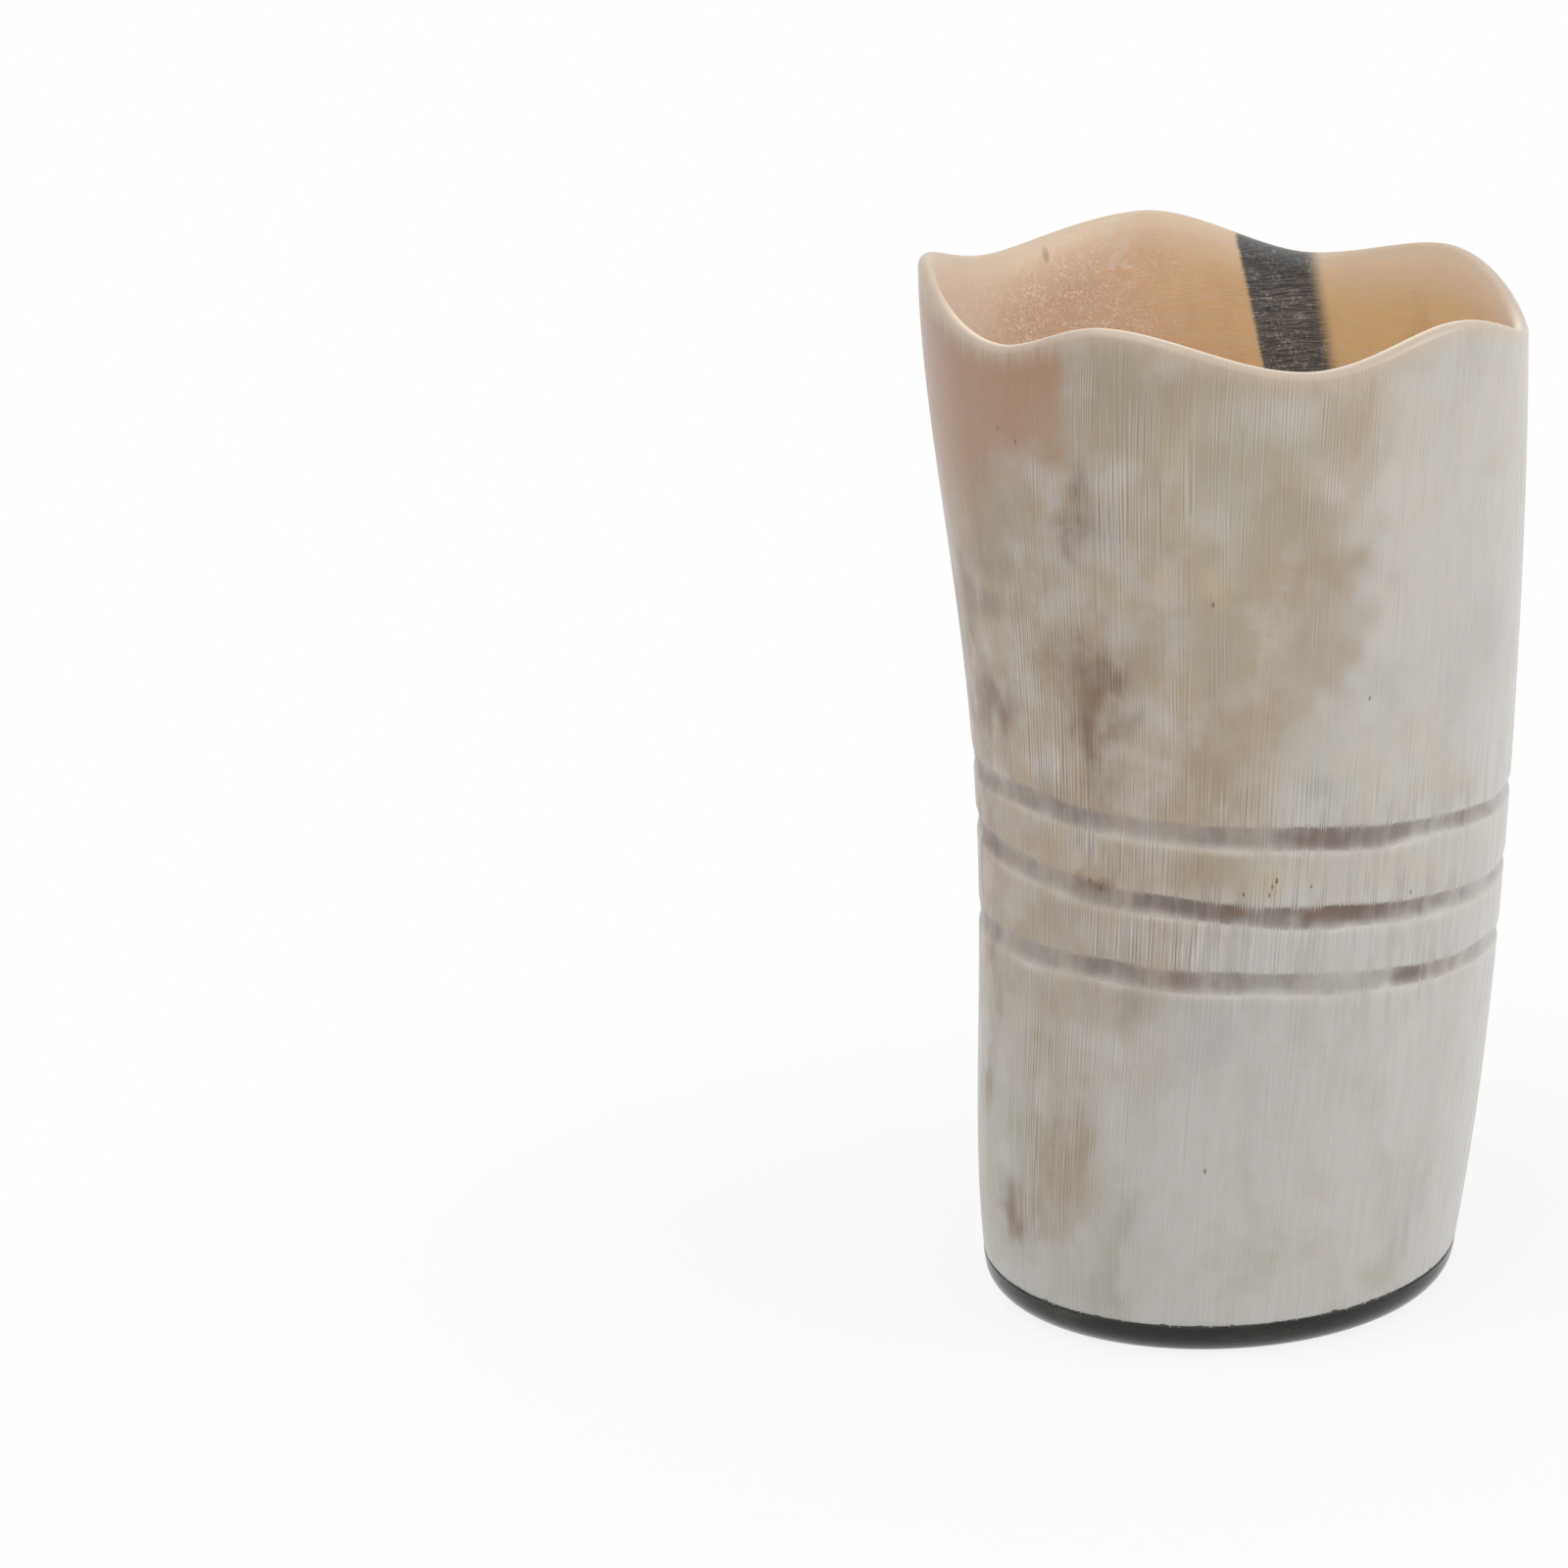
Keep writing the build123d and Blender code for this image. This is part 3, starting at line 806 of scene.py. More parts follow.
class Wires:
    """Adds nodes to one node tree and joins them up."""

    # Sockets of a Mix node that mixes colours
    mix_share, mix_first, mix_second, mix_result = 0, 6, 7, 2

    def __init__(self, tree):
        self.tree = tree

    def feed(self, socket, value):
        """Links a socket to another one, or sets its value."""
        if isinstance(value, bpy.types.NodeSocket):
            self.tree.links.new(value, socket)
        else:
            socket.default_value = value

    def add(self, kind, inputs, **settings):
        """A new node with its settings and its inputs."""
        node = self.tree.nodes.new(kind)
        for name, value in settings.items():
            setattr(node, name, value)
        for key, value in inputs.items():
            self.feed(node.inputs[key], value)
        return node

    def math(self, operation, first, second=0.0):
        """One sum of two values."""
        return self.add("ShaderNodeMath", {0: first, 1: second}, operation=operation).outputs[0]

    def times(self, first, *others):
        """Values multiplied by one another."""
        for other in others:
            first = self.math("MULTIPLY", first, other)
        return first

    def most(self, first, second):
        """The greater of two values."""
        return self.math("MAXIMUM", first, second)

    def rest(self, value):
        """What a share leaves of the whole."""
        return self.math("SUBTRACT", 1.0, value)

    def weigh(self, value, weight, start=0.0):
        """A value times a weight, from a start."""
        inputs = {0: value, 1: weight, 2: start}
        return self.add("ShaderNodeMath", inputs, operation="MULTIPLY_ADD").outputs[0]

    def strength(self, effect, value):
        """How strong an effect of the finish is, by a fibre, cloud or mark."""
        return self.weigh(value, *STRENGTHS[effect])

    def step(self, value, low, high):
        """A smooth step from 0 at the low value to 1 at the high one."""
        inputs = {"Value": value, "From Min": low, "From Max": high}
        return self.add("ShaderNodeMapRange", inputs, interpolation_type="SMOOTHSTEP").outputs[0]

    def mix(self, part, first, second):
        """Two colours mixed."""
        inputs = {self.mix_share: part, self.mix_first: colour(first), self.mix_second: colour(second)}
        return self.add("ShaderNodeMix", inputs, data_type="RGBA").outputs[self.mix_result]

    def scale(self, vector, factor):
        """A vector or colour made longer or lighter by one factor."""
        return self.add("ShaderNodeVectorMath", {0: vector, "Scale": factor}, operation="SCALE").outputs[0]

    def stretch(self, vector, factors):
        """A vector times another, axis by axis."""
        return self.add("ShaderNodeVectorMath", {0: vector, 1: factors}, operation="MULTIPLY").outputs[0]

    def shift(self, vector, step):
        """A vector moved by another, to read another part of a pattern."""
        return self.add("ShaderNodeVectorMath", {0: vector, 1: step}, operation="ADD").outputs[0]

    def noise(self, vector, detail, roughness=0.5):
        """Soft noise whose grain is one unit of the vector."""
        inputs = {"Vector": vector, "Scale": 1.0, "Detail": detail, "Roughness": roughness}
        return self.add("ShaderNodeTexNoise", inputs).outputs[0]

    def stored(self, name, vector=False):
        """A value or vector that the mesh keeps for each point."""
        node = self.add("ShaderNodeAttribute", {}, attribute_name=name)
        return node.outputs["Vector" if vector else "Fac"]

    def group(self, name, inputs):
        """One of the shared effects, and its only output."""
        node = self.tree.nodes.new("ShaderNodeGroup")
        node.node_tree = bpy.data.node_groups[name]
        for key, value in inputs.items():
            self.feed(node.inputs[key], value)
        return node.outputs[0]

    def clouds(self, kind, place):
        """Soft clouds of one kind."""
        size, height, start, full = CLOUDS[kind]
        inputs = {"Place": place, "Size": size * MM, "Height": height * MM, "Start": start, "Full": full}
        return self.group("Soft Clouds", inputs)

    def fibres(self, kind, place):
        """Lengthwise fibres of one kind."""
        spacing, reach = FIBRES[kind]
        return self.group("Horn Fibres", {"Place": place, "Spacing": spacing * MM, "Length": reach * MM})

    def scratches(self, unrolled, degrees, width, start):
        """Fine scratches in one direction."""
        direction = math.radians(degrees)
        inputs = {"Unrolled": unrolled, "Direction": direction, "Width": width * MM, "Start": start}
        return self.group("Fine Scratches", inputs)

    def speck(self, place, degrees, height, radius, shift=0.0):
        """A speck at an angle and a height, in a grain that may be shifted."""
        middle = twisted_space(math.radians(degrees), height * MM, shift)
        return self.group("Speck", {"Place": place, "Middle": tuple(middle), "Radius": radius * MM})


def colour(value):
    """A colour's four values, or a socket as it is."""
    if isinstance(value, bpy.types.NodeSocket):
        return value
    return (value[0], value[1], value[2], 1.0)


def new_effect(name, vectors, values, output):
    """An empty node group with named inputs and one output, and the wires to fill it."""
    tree = bpy.data.node_groups.new(name, "ShaderNodeTree")
    for socket in vectors:
        tree.interface.new_socket(name=socket, in_out="INPUT", socket_type="NodeSocketVector")
    for socket, default in values.items():
        made = tree.interface.new_socket(name=socket, in_out="INPUT", socket_type="NodeSocketFloat")
        made.default_value = default
    tree.interface.new_socket(name=output, in_out="OUTPUT", socket_type="NodeSocketFloat")
    wires = Wires(tree)
    given = tree.nodes.new("NodeGroupInput").outputs
    result = tree.nodes.new("NodeGroupOutput").inputs[0]
    return wires, given, result


# Fibres, in their own spacings and lengths: the size of the noise that moves them apart and how far it does,
# in turns of their wave, the size of the noise that fades them, the levels of it between which they show, and
# how far it is shifted
WAVER_SIZE = (5.0, 4.0)
WAVER_TURNS = 3.5
FADE_SIZE = (2.2, 1.0)
FADE_LEVELS = (0.38, 0.62)
FADE_SHIFT = (0.3, 0.1, 0.2)


def make_fibre_effect():
    """Fine straight lengthwise lines, unevenly spaced and fading out, from 0 to 1 and a half on average."""
    values = {"Spacing": 0.4 * MM, "Length": 8 * MM}
    wires, given, result = new_effect("Horn Fibres", ["Place"], values, "Fibre")
    parts = wires.add("ShaderNodeSeparateXYZ", {0: given["Place"]}).outputs
    turn = wires.math("ARCTAN2", parts[0], wires.math("MULTIPLY", parts[1], -1.0))
    count = wires.math("ROUND", wires.math("DIVIDE", TURN * GRAIN_RADIUS, given["Spacing"]))

    def stretched_noise(place, size):
        across = wires.math("DIVIDE", 1.0 / size[0], given["Spacing"])
        along = wires.math("DIVIDE", 1.0 / size[1], given["Length"])
        factors = wires.add("ShaderNodeCombineXYZ", {0: across, 1: across, 2: along}).outputs[0]
        return wires.noise(wires.stretch(place, factors), detail=1.0)

    waver = stretched_noise(given["Place"], WAVER_SIZE)
    wave = wires.math("SINE", wires.weigh(waver, WAVER_TURNS * TURN, wires.times(turn, count)))
    fade = stretched_noise(wires.shift(given["Place"], FADE_SHIFT), FADE_SIZE)
    wires.feed(result, wires.weigh(wires.times(wave, wires.step(fade, *FADE_LEVELS)), 0.5, 0.5))


def make_cloud_effect():
    """Soft clouds that start at one level of their noise and are full at another."""
    values = {"Size": 10 * MM, "Height": 20 * MM, "Start": 0.4, "Full": 0.6}
    wires, given, result = new_effect("Soft Clouds", ["Place"], values, "Cloud")
    across = wires.math("DIVIDE", 1.0, given["Size"])
    along = wires.math("DIVIDE", 1.0, given["Height"])
    factors = wires.add("ShaderNodeCombineXYZ", {0: across, 1: across, 2: along}).outputs[0]
    noise = wires.noise(wires.stretch(given["Place"], factors), detail=4.0, roughness=0.55)
    wires.feed(result, wires.step(noise, given["Start"], given["Full"]))


# How far above the level at which a scratch starts it is full
SCRATCH_EDGE = 0.1


def make_scratch_effect():
    """Fine scratches that all run one way over the unrolled surface."""
    values = {"Direction": 0.0, "Width": 0.12 * MM, "Length": 5 * MM, "Start": 0.6}
    wires, given, result = new_effect("Fine Scratches", ["Unrolled"], values, "Scratch")
    inputs = {"Vector": given["Unrolled"], "Angle": given["Direction"]}
    turned = wires.add("ShaderNodeVectorRotate", inputs, rotation_type="Z_AXIS").outputs[0]
    along = wires.math("DIVIDE", 1.0, given["Length"])
    across = wires.math("DIVIDE", 1.0, given["Width"])
    factors = wires.add("ShaderNodeCombineXYZ", {0: along, 1: across}).outputs[0]
    noise = wires.noise(wires.stretch(turned, factors), detail=1.0)
    wires.feed(result, wires.step(noise, given["Start"], wires.math("ADD", given["Start"], SCRATCH_EDGE)))


# Makes the edge of a mark 1 where the mark is a half
EDGE_GAIN = 4.0


def make_broken_edge_effect():
    """A soft mark whose edge is combed out by fibres and clouds, while its middle stays whole."""
    values = {"Mark": 0.0, "Fibre": 0.5, "Cloud": 0.5, "Breaking": 0.6}
    wires, given, result = new_effect("Broken Edge", [], values, "Mark")
    edge = wires.times(given["Mark"], wires.rest(given["Mark"]), EDGE_GAIN)
    both = wires.math("SUBTRACT", wires.math("ADD", given["Fibre"], given["Cloud"]), 1.0)
    whole = wires.math("ADD", given["Mark"], wires.times(both, edge, given["Breaking"]))
    wires.feed(result, wires.math("MINIMUM", wires.most(whole, 0.0), 1.0))


# Shrinking of a speck's height that makes it taller than wide, and the shares of its radius where it fades
SPECK_FLATTENING = (1.0, 1.0, 0.45)
SPECK_EDGE = (0.5, 1.2)


def make_speck_effect():
    """One small speck, taller than it is wide."""
    wires, given, result = new_effect("Speck", ["Place", "Middle"], {"Radius": 0.3 * MM}, "Speck")
    inputs = {0: given["Place"], 1: given["Middle"]}
    gap = wires.add("ShaderNodeVectorMath", inputs, operation="SUBTRACT").outputs[0]
    flattened = wires.stretch(gap, SPECK_FLATTENING)
    distance = wires.add("ShaderNodeVectorMath", {0: flattened}, operation="LENGTH").outputs["Value"]
    part = wires.math("DIVIDE", distance, given["Radius"])
    wires.feed(result, wires.rest(wires.step(part, *SPECK_EDGE)))


def make_effects():
    """The shared effects, each made once."""
    make_fibre_effect()
    make_cloud_effect()
    make_scratch_effect()
    make_broken_edge_effect()
    make_speck_effect()


def new_material(name):
    """A material with only its main shader, and the wires to fill it."""
    material = bpy.data.materials.new(name)
    material.use_nodes = True
    shader = material.node_tree.nodes["Principled BSDF"]
    return material, Wires(material.node_tree), shader


# Relief of the fine lines: its depth, and how much of it shows
RELIEF_DEPTH = 0.02 * MM
RELIEF_STRENGTH = 0.4


def set_bump(wires, shader, height):
    """Fine relief, by a height counted in depths of the relief."""
    inputs = {"Height": height, "Distance": RELIEF_DEPTH, "Strength": RELIEF_STRENGTH}
    bump = wires.add("ShaderNodeBump", inputs)
    wires.feed(shader.inputs["Normal"], bump.outputs["Normal"])


# A step through the grain, to read another part of a noise
OTHER_PLACE = (0.1, 0.2, 0.3)

# Level of a fibre at which it starts to show as a hair, and the depth of a groove at which its floor is full
HAIR_START = 0.55
FLOOR_FULL = 0.26


def outside_colour(wires, tones, place, fine, broad):
    """Colour of the horn's outside: two main tones, blotches, fibres, grooves, specks and rim, with a painted
    highlight on each groove's lower lip and painted shade on the rim's cap and along the -X edge.
    """
    cloud = wires.clouds("mark_edges", place)

    def mark(name):
        inputs = {"Mark": wires.stored(name), "Fibre": fine, "Cloud": cloud, "Breaking": BREAKING[name]}
        return wires.group("Broken Edge", inputs)

    mixed = wires.mix(mark("pale"), tones.beige, tones.pale_grey)

    # Soft mottling: whitish veils of open fibre and warm clouds, faint on the lower horn
    upper = wires.strength("upper_horn", wires.stored("pale"))
    veil = wires.times(wires.clouds("veil", place), upper, wires.strength("veil", fine))
    mixed = wires.mix(veil, mixed, tones.white)
    warm = wires.clouds("warm", wires.shift(place, OTHER_PLACE))
    mixed = wires.mix(wires.times(warm, wires.strength("warm", upper)), mixed, tones.tan)

    for name in ("tan", "olive", "yellow", "grey"):
        mixed = wires.mix(mark(name), mixed, getattr(tones, name))
    white = wires.times(mark("white"), wires.strength("white", fine))
    mixed = wires.mix(white, mixed, tones.white)
    peach = mark("peach")
    mixed = wires.mix(peach, mixed, tones.peach)

    # Fibres, which the clear horn under the rim and the peach corner hide
    band = wires.stored("rim_band")
    shown = wires.times(
        wires.rest(wires.most(band, wires.strength("clear_horn", peach))),
        wires.strength("fibre_height", upper),
        wires.strength("fibre_cloud", cloud),
        wires.strength("fibre_combed", wires.stored("combed")),
    )
    light = wires.math("ADD", wires.strength("fine_light", fine), wires.strength("broad_light", broad))
    mixed = wires.scale(mixed, wires.weigh(light, shown, 1.0))
    hair = wires.step(fine, HAIR_START, 1.0)
    mixed = wires.mix(wires.times(hair, wires.strength("hairs", shown)), mixed, tones.white)

    # Grooves: a greyish floor with its edges combed by the fibres, darker horn in places, a painted highlight
    # on the lower lip
    combed = wires.math("ADD", wires.stored("groove"), wires.strength("groove_combing", fine))
    floor = wires.times(wires.step(combed, 0.0, FLOOR_FULL), wires.strength("groove_hairs", hair))
    mixed = wires.mix(wires.times(floor, wires.strength("groove_cloud", cloud)), mixed, tones.groove)
    mixed = wires.mix(wires.times(mark("stain"), floor), mixed, tones.stain)
    # Painted highlight on the lower lip of each groove
    lip = wires.times(wires.stored("lip"), wires.strength("lip", fine))
    mixed = wires.mix(lip, mixed, tones.lip)
    mixed = wires.mix(mark("brown"), mixed, tones.brown)

    specks = 0.0
    for spot in SPECKS:
        specks = wires.most(specks, wires.speck(place, *spot))
    mixed = wires.mix(wires.strength("specks", specks), mixed, tones.speck)
    mixed = wires.mix(wires.strength("rim_band", band), mixed, tones.rim)
    # Painted shade on the up-facing top of the rim
    return wires.mix(wires.step(wires.stored("rim_cap"), 0.0, 1.0), mixed, tones.rim_cap)


# Places across the inside between which it turns golden toward +X, lightened there by painted glow, and dusty
# and streaked toward -X
GOLDEN_GLOW_SIDE = (-20 * MM, 12 * MM)
DUSTY_SIDE = (-22 * MM, 2 * MM)
STREAKED_SIDE = (-31 * MM, -20 * MM)

# Share of the fine grain that neither lightens nor darkens the inside
GRAIN_MEAN = 0.4


def inside_colour(wires, tones, place, unrolled, fine):
    """Colour and scratches of the reamed inside: peach to golden, lifted by painted glow, with bloom, grain
    and a dark stripe, and painted shade on the rim's cap.
    """
    across = wires.add("ShaderNodeSeparateXYZ", {0: place}).outputs[0]
    left = wires.rest(wires.step(across, *DUSTY_SIDE))
    far_left = wires.rest(wires.step(across, *STREAKED_SIDE))
    band = wires.stored("rim_band")
    # Painted glow: lifted inside tones, lightest toward +X
    mixed = wires.mix(wires.step(across, *GOLDEN_GLOW_SIDE), tones.inside_left, tones.inside_right_glow)
    mixed = wires.mix(wires.strength("deep", wires.clouds("deep", place)), mixed, tones.inside_deep)
    mixed = wires.mix(wires.strength("inner_band", band), mixed, tones.inside_rim)

    # Whitish bloom in soft clouds, broken up by a fine grain, mostly toward -X
    bloom = wires.clouds("bloom", wires.shift(place, OTHER_PLACE))
    patches = wires.clouds("patches", place)
    grain = wires.times(wires.clouds("grain", place), wires.strength("grain", patches))
    open_wall = wires.strength("open_wall", wires.rest(band))
    dustiness = wires.times(wires.strength("dust_side", left), open_wall)
    speckles = wires.math("SUBTRACT", grain, GRAIN_MEAN)
    mixed = wires.scale(mixed, wires.weigh(speckles, wires.strength("dust_light", dustiness), 1.0))
    dusty = wires.times(wires.strength("bloom", bloom), wires.strength("bloom_grain", grain), dustiness)
    mixed = wires.mix(dusty, mixed, tones.bloom)
    streaks = wires.times(far_left, wires.strength("streaks", fine))
    mixed = wires.mix(streaks, mixed, tones.bloom)
    # Painted shade on the inner half of the rim's up-facing top
    mixed = wires.mix(wires.step(wires.stored("rim_cap"), 0.0, 1.0), mixed, tones.inside_cap)

    # The charcoal stripe, with its crisp edge finely frayed
    crisp = wires.weigh(wires.scratches(unrolled, *FRAY), STRIPE_FRAY, wires.stored("stripe_crisp"))
    crisp = wires.step(crisp, 0.0, STRIPE_CRISP_EDGE)
    soft = wires.step(wires.stored("stripe_soft"), -STRIPE_SOFT_EDGE / 2.0, STRIPE_SOFT_EDGE / 2.0)
    stripe = wires.times(crisp, soft, wires.stored("stripe"))
    mixed = wires.mix(stripe, mixed, tones.stripe)
    mixed = wires.mix(wires.strength("stripe_grain", wires.times(stripe, grain)), mixed, tones.scuff)

    # Fine scratches, nearly level, and a few scuffs across them
    scratches = 0.0
    for scratch in INSIDE_SCRATCHES:
        scratches = wires.most(scratches, wires.scratches(unrolled, *scratch))
    worn = wires.times(wires.strength("scratches", scratches), wires.strength("scratch_grain", grain))
    mixed = wires.mix(wires.times(worn, open_wall), mixed, tones.scuff)

    haze = wires.times(wires.speck(place, *HAZE, INSIDE_SHIFT), wires.strength("haze", patches))
    mixed = wires.mix(haze, mixed, tones.scuff)
    dent = wires.speck(place, *DENT, INSIDE_SHIFT)
    mixed = wires.mix(wires.strength("dent", dent), mixed, tones.tan)
    return mixed, wires.math("ADD", scratches, wires.strength("dent_depth", dent))


# How much rougher the pale horn is in a groove and on the inside, and how the light goes through it
GROOVE_ROUGHER = 0.15
INSIDE_ROUGHER = 0.12
HORN_GLOW = {
    "IOR": 1.54,
    "Subsurface Weight": 0.5,
    "Subsurface Radius": (1.0, 0.62, 0.38),
    "Subsurface Scale": 2.4 * MM,
}


def make_pale_horn(tones):
    """The polished pale horn of the wall."""
    material, wires, shader = new_material("pale_horn")
    place = wires.stored("grain_place", vector=True)
    unrolled = wires.stored("unrolled", vector=True)
    inside = wires.stored("inside")
    fine = wires.fibres("fine", place)
    broad = wires.fibres("broad", place)
    outer = outside_colour(wires, tones, place, fine, broad)
    inner, scratches = inside_colour(wires, tones, place, unrolled, fine)
    mixed = wires.mix(inside, outer, inner)
    # Painted glow along the front of the rim, for light that comes through the thin horn
    mixed = wires.mix(wires.strength("rim_edge", wires.stored("rim_edge")), mixed, tones.rim_edge)
    wires.feed(shader.inputs["Base Color"], mixed)
    rough = wires.weigh(wires.stored("groove"), GROOVE_ROUGHER, wires.strength("horn_roughness", fine))
    wires.feed(shader.inputs["Roughness"], wires.weigh(inside, INSIDE_ROUGHER, rough))
    clear = wires.most(wires.stored("rim_band"), wires.stored("peach"))
    fibre_relief = wires.times(fine, wires.rest(wires.most(clear, inside)))
    set_bump(wires, shader, wires.math("SUBTRACT", fibre_relief, wires.times(scratches, inside)))
    for name, value in HORN_GLOW.items():
        shader.inputs[name].default_value = value
    return material


# How much rougher a scratch of the base is, and the base's own gloss
SCRATCH_ROUGHER = 0.2
BASE_GLOSS = 0.35


def make_dark_horn(tones):
    """The polished black horn of the base."""
    material, wires, shader = new_material("dark_horn")
    place = wires.stored("grain_place", vector=True)
    unrolled = wires.stored("unrolled", vector=True)
    fine = wires.fibres("base", place)
    streak = wires.times(wires.clouds("base_streak", place), wires.strength("base_streak", fine))
    mixed = wires.mix(streak, tones.base, tones.base_streak)
    # Paler olive lower edge, strongest toward -X: part olive horn, part painted highlight
    worn = wires.times(wires.stored("worn"), wires.strength("base_olive_edge", fine))
    mixed = wires.mix(worn, mixed, tones.base_olive_edge)
    scratch = wires.scratches(unrolled, *BASE_SCRATCH)
    mixed = wires.mix(wires.strength("base_scratch", scratch), mixed, tones.base_scuff)
    wires.feed(shader.inputs["Base Color"], mixed)
    rough = wires.weigh(scratch, SCRATCH_ROUGHER, wires.strength("base_roughness", fine))
    wires.feed(shader.inputs["Roughness"], rough)
    set_bump(wires, shader, wires.math("SUBTRACT", wires.strength("base_relief", fine), scratch))
    shader.inputs["Specular IOR Level"].default_value = BASE_GLOSS
    return material


def make_glue(tones):
    """The set glue in the seam, dark, with horn dust caught in it."""
    material, wires, shader = new_material("glue")
    grit = wires.clouds("glue_grit", wires.stored("grain_place", vector=True))
    wires.feed(shader.inputs["Base Color"], wires.mix(grit, tones.glue, tones.glue_grit))
    wires.feed(shader.inputs["Roughness"], wires.strength("glue_roughness", grit))
    return material


# Rows of the wall's mesh: shares of its worn lower edge, how far above the seam the next rows start, the
# heights between which the grooves need closer rows, and how many rows lie below, between and above these
# heights, over the rim and on the inside
LOWER_EDGE_ROWS = (0.0, 0.12, 0.35, 0.7, 1.0)
LOWER_START = 0.8 * MM
CLOSE_FROM, CLOSE_TO = 40 * MM, 72 * MM
LOWER_ROWS, CLOSE_ROWS, UPPER_ROWS = 34, 86, 48
RIM_ROWS = 19
INSIDE_ROWS = 46


def wall_levels(sizes):
    """Shares of the way from seam to rim, closer together at the edges and in the grooves."""
    top = sizes.rim_height - sizes.rim_cap
    edge = sizes.seam_height + sizes.edge_rounding * np.array(LOWER_EDGE_ROWS)
    lower = np.linspace(sizes.seam_height + LOWER_START, CLOSE_FROM, LOWER_ROWS)
    middle = np.linspace(CLOSE_FROM, CLOSE_TO, CLOSE_ROWS)
    upper = np.linspace(CLOSE_TO, top, UPPER_ROWS)
    levels = np.unique(np.concatenate((edge, lower, middle, upper)))
    return (levels - sizes.seam_height) / (top - sizes.seam_height)


def as_rows(rows, turn):
    """Rows of values, each spread over the columns of a mesh and gathered by kind."""
    spread = [[np.broadcast_to(value, turn.shape) for value in row] for row in rows]
    return [np.array(values) for values in zip(*spread)]


# Where on the bend from outside to inside the painted glow along the rim lies, and how far it spreads
RIM_GLOW_MIDDLE = math.radians(95)
RIM_GLOW_SPREAD = math.radians(24)

# Angles between which the painted glow shows, in degrees, and how far it fades at both
RIM_GLOW_FROM = -75
RIM_GLOW_TO = 105
RIM_GLOW_FADE = math.radians(25)

# Shares of the wall's thickness, from its inside, between which the rim takes on the colours of the inside
RIM_INSIDE_FROM, RIM_INSIDE_TO = 0.75, 0.25

# How far the wall's lower face stands back from its side, in roundings of the edge
FOOT_SET_BACK = 1.5


def wall_rows(shape, turn):
    """Heights and distances from the middle line of the wall's rows, and shares of inside, cap and painted
    rim glow.
    """
    sizes = shape.sizes
    rows = []
    foot = shape.seam(turn) + shape.chips(turn)
    crest = shape.rim(turn)
    shoulder = crest - sizes.rim_cap
    worn_from = crest - sizes.rim_wear
    for part in wall_levels(sizes):
        height = foot + (shoulder - foot) * part
        reach = shape.outside(turn, height) - worn_edge(height - foot, sizes.edge_rounding)
        rows.append((height, reach, 0.0, 0.0, 0.0))
    outer = shape.outside(turn, shoulder)
    inner = shape.inside(worn_from)
    # Painted glow: only along the front half of the rim, near its inner edge
    front = smooth_step(turn_between(turn, RIM_GLOW_FROM) / RIM_GLOW_FADE)
    front = front * smooth_step(-turn_between(turn, RIM_GLOW_TO) / RIM_GLOW_FADE)
    for bend in np.linspace(0.0, math.pi, RIM_ROWS)[1:-1]:
        part = (1.0 + math.cos(bend)) / 2.0
        drop = sizes.rim_cap if part > 0.5 else sizes.rim_wear
        height = crest - drop * (1.0 - math.sin(bend))
        edge = front * math.exp(-(((bend - RIM_GLOW_MIDDLE) / RIM_GLOW_SPREAD) ** 2))
        inside = smooth_step((RIM_INSIDE_FROM - part) / (RIM_INSIDE_FROM - RIM_INSIDE_TO))
        rows.append((height, inner + (outer - inner) * part, inside, math.sin(bend), edge))
    ledge = shape.seam(turn, shape.seat) + sizes.spigot_height
    for part in np.linspace(0.0, 1.0, INSIDE_ROWS):
        height = worn_from + (ledge - worn_from) * part
        rows.append((height, shape.inside(height), 1.0, 0.0, 0.0))
    rows.append((ledge, shape.seat, 1.0, 0.0, 0.0))
    rows.append((shape.seam(turn, shape.seat), shape.seat, 1.0, 0.0, 0.0))
    rows.append((foot, shape.half_width(foot) - FOOT_SET_BACK * sizes.edge_rounding, 0.0, 0.0, 0.0))
    return as_rows(rows, turn)


# Where the base's lower edge turns paler olive, part olive horn and part painted highlight: the angle at
# which that fades and how far it does, the height that it reaches, and its least strength
OLIVE_EDGE_TURN = -32
OLIVE_EDGE_SPREAD = math.radians(50)
OLIVE_EDGE_LOW = 1.1 * MM
OLIVE_EDGE_LEAST = 0.15

# Rows of the base's mesh: shares of the underside, rows of its rounding, shares of the side, rows of the worn
# upper edge, and shares of the spigot's top
UNDERSIDE_ROWS = (0.05, 0.25, 0.5, 0.75, 0.92)
ROUNDING_ROWS = 10
BASE_SIDE_ROWS = (0.15, 0.3, 0.45, 0.6, 0.75, 0.88)
UPPER_EDGE_ROWS = 6
SPIGOT_ROWS = (1.0, 0.985, 0.8, 0.5, 0.2, 0.05)


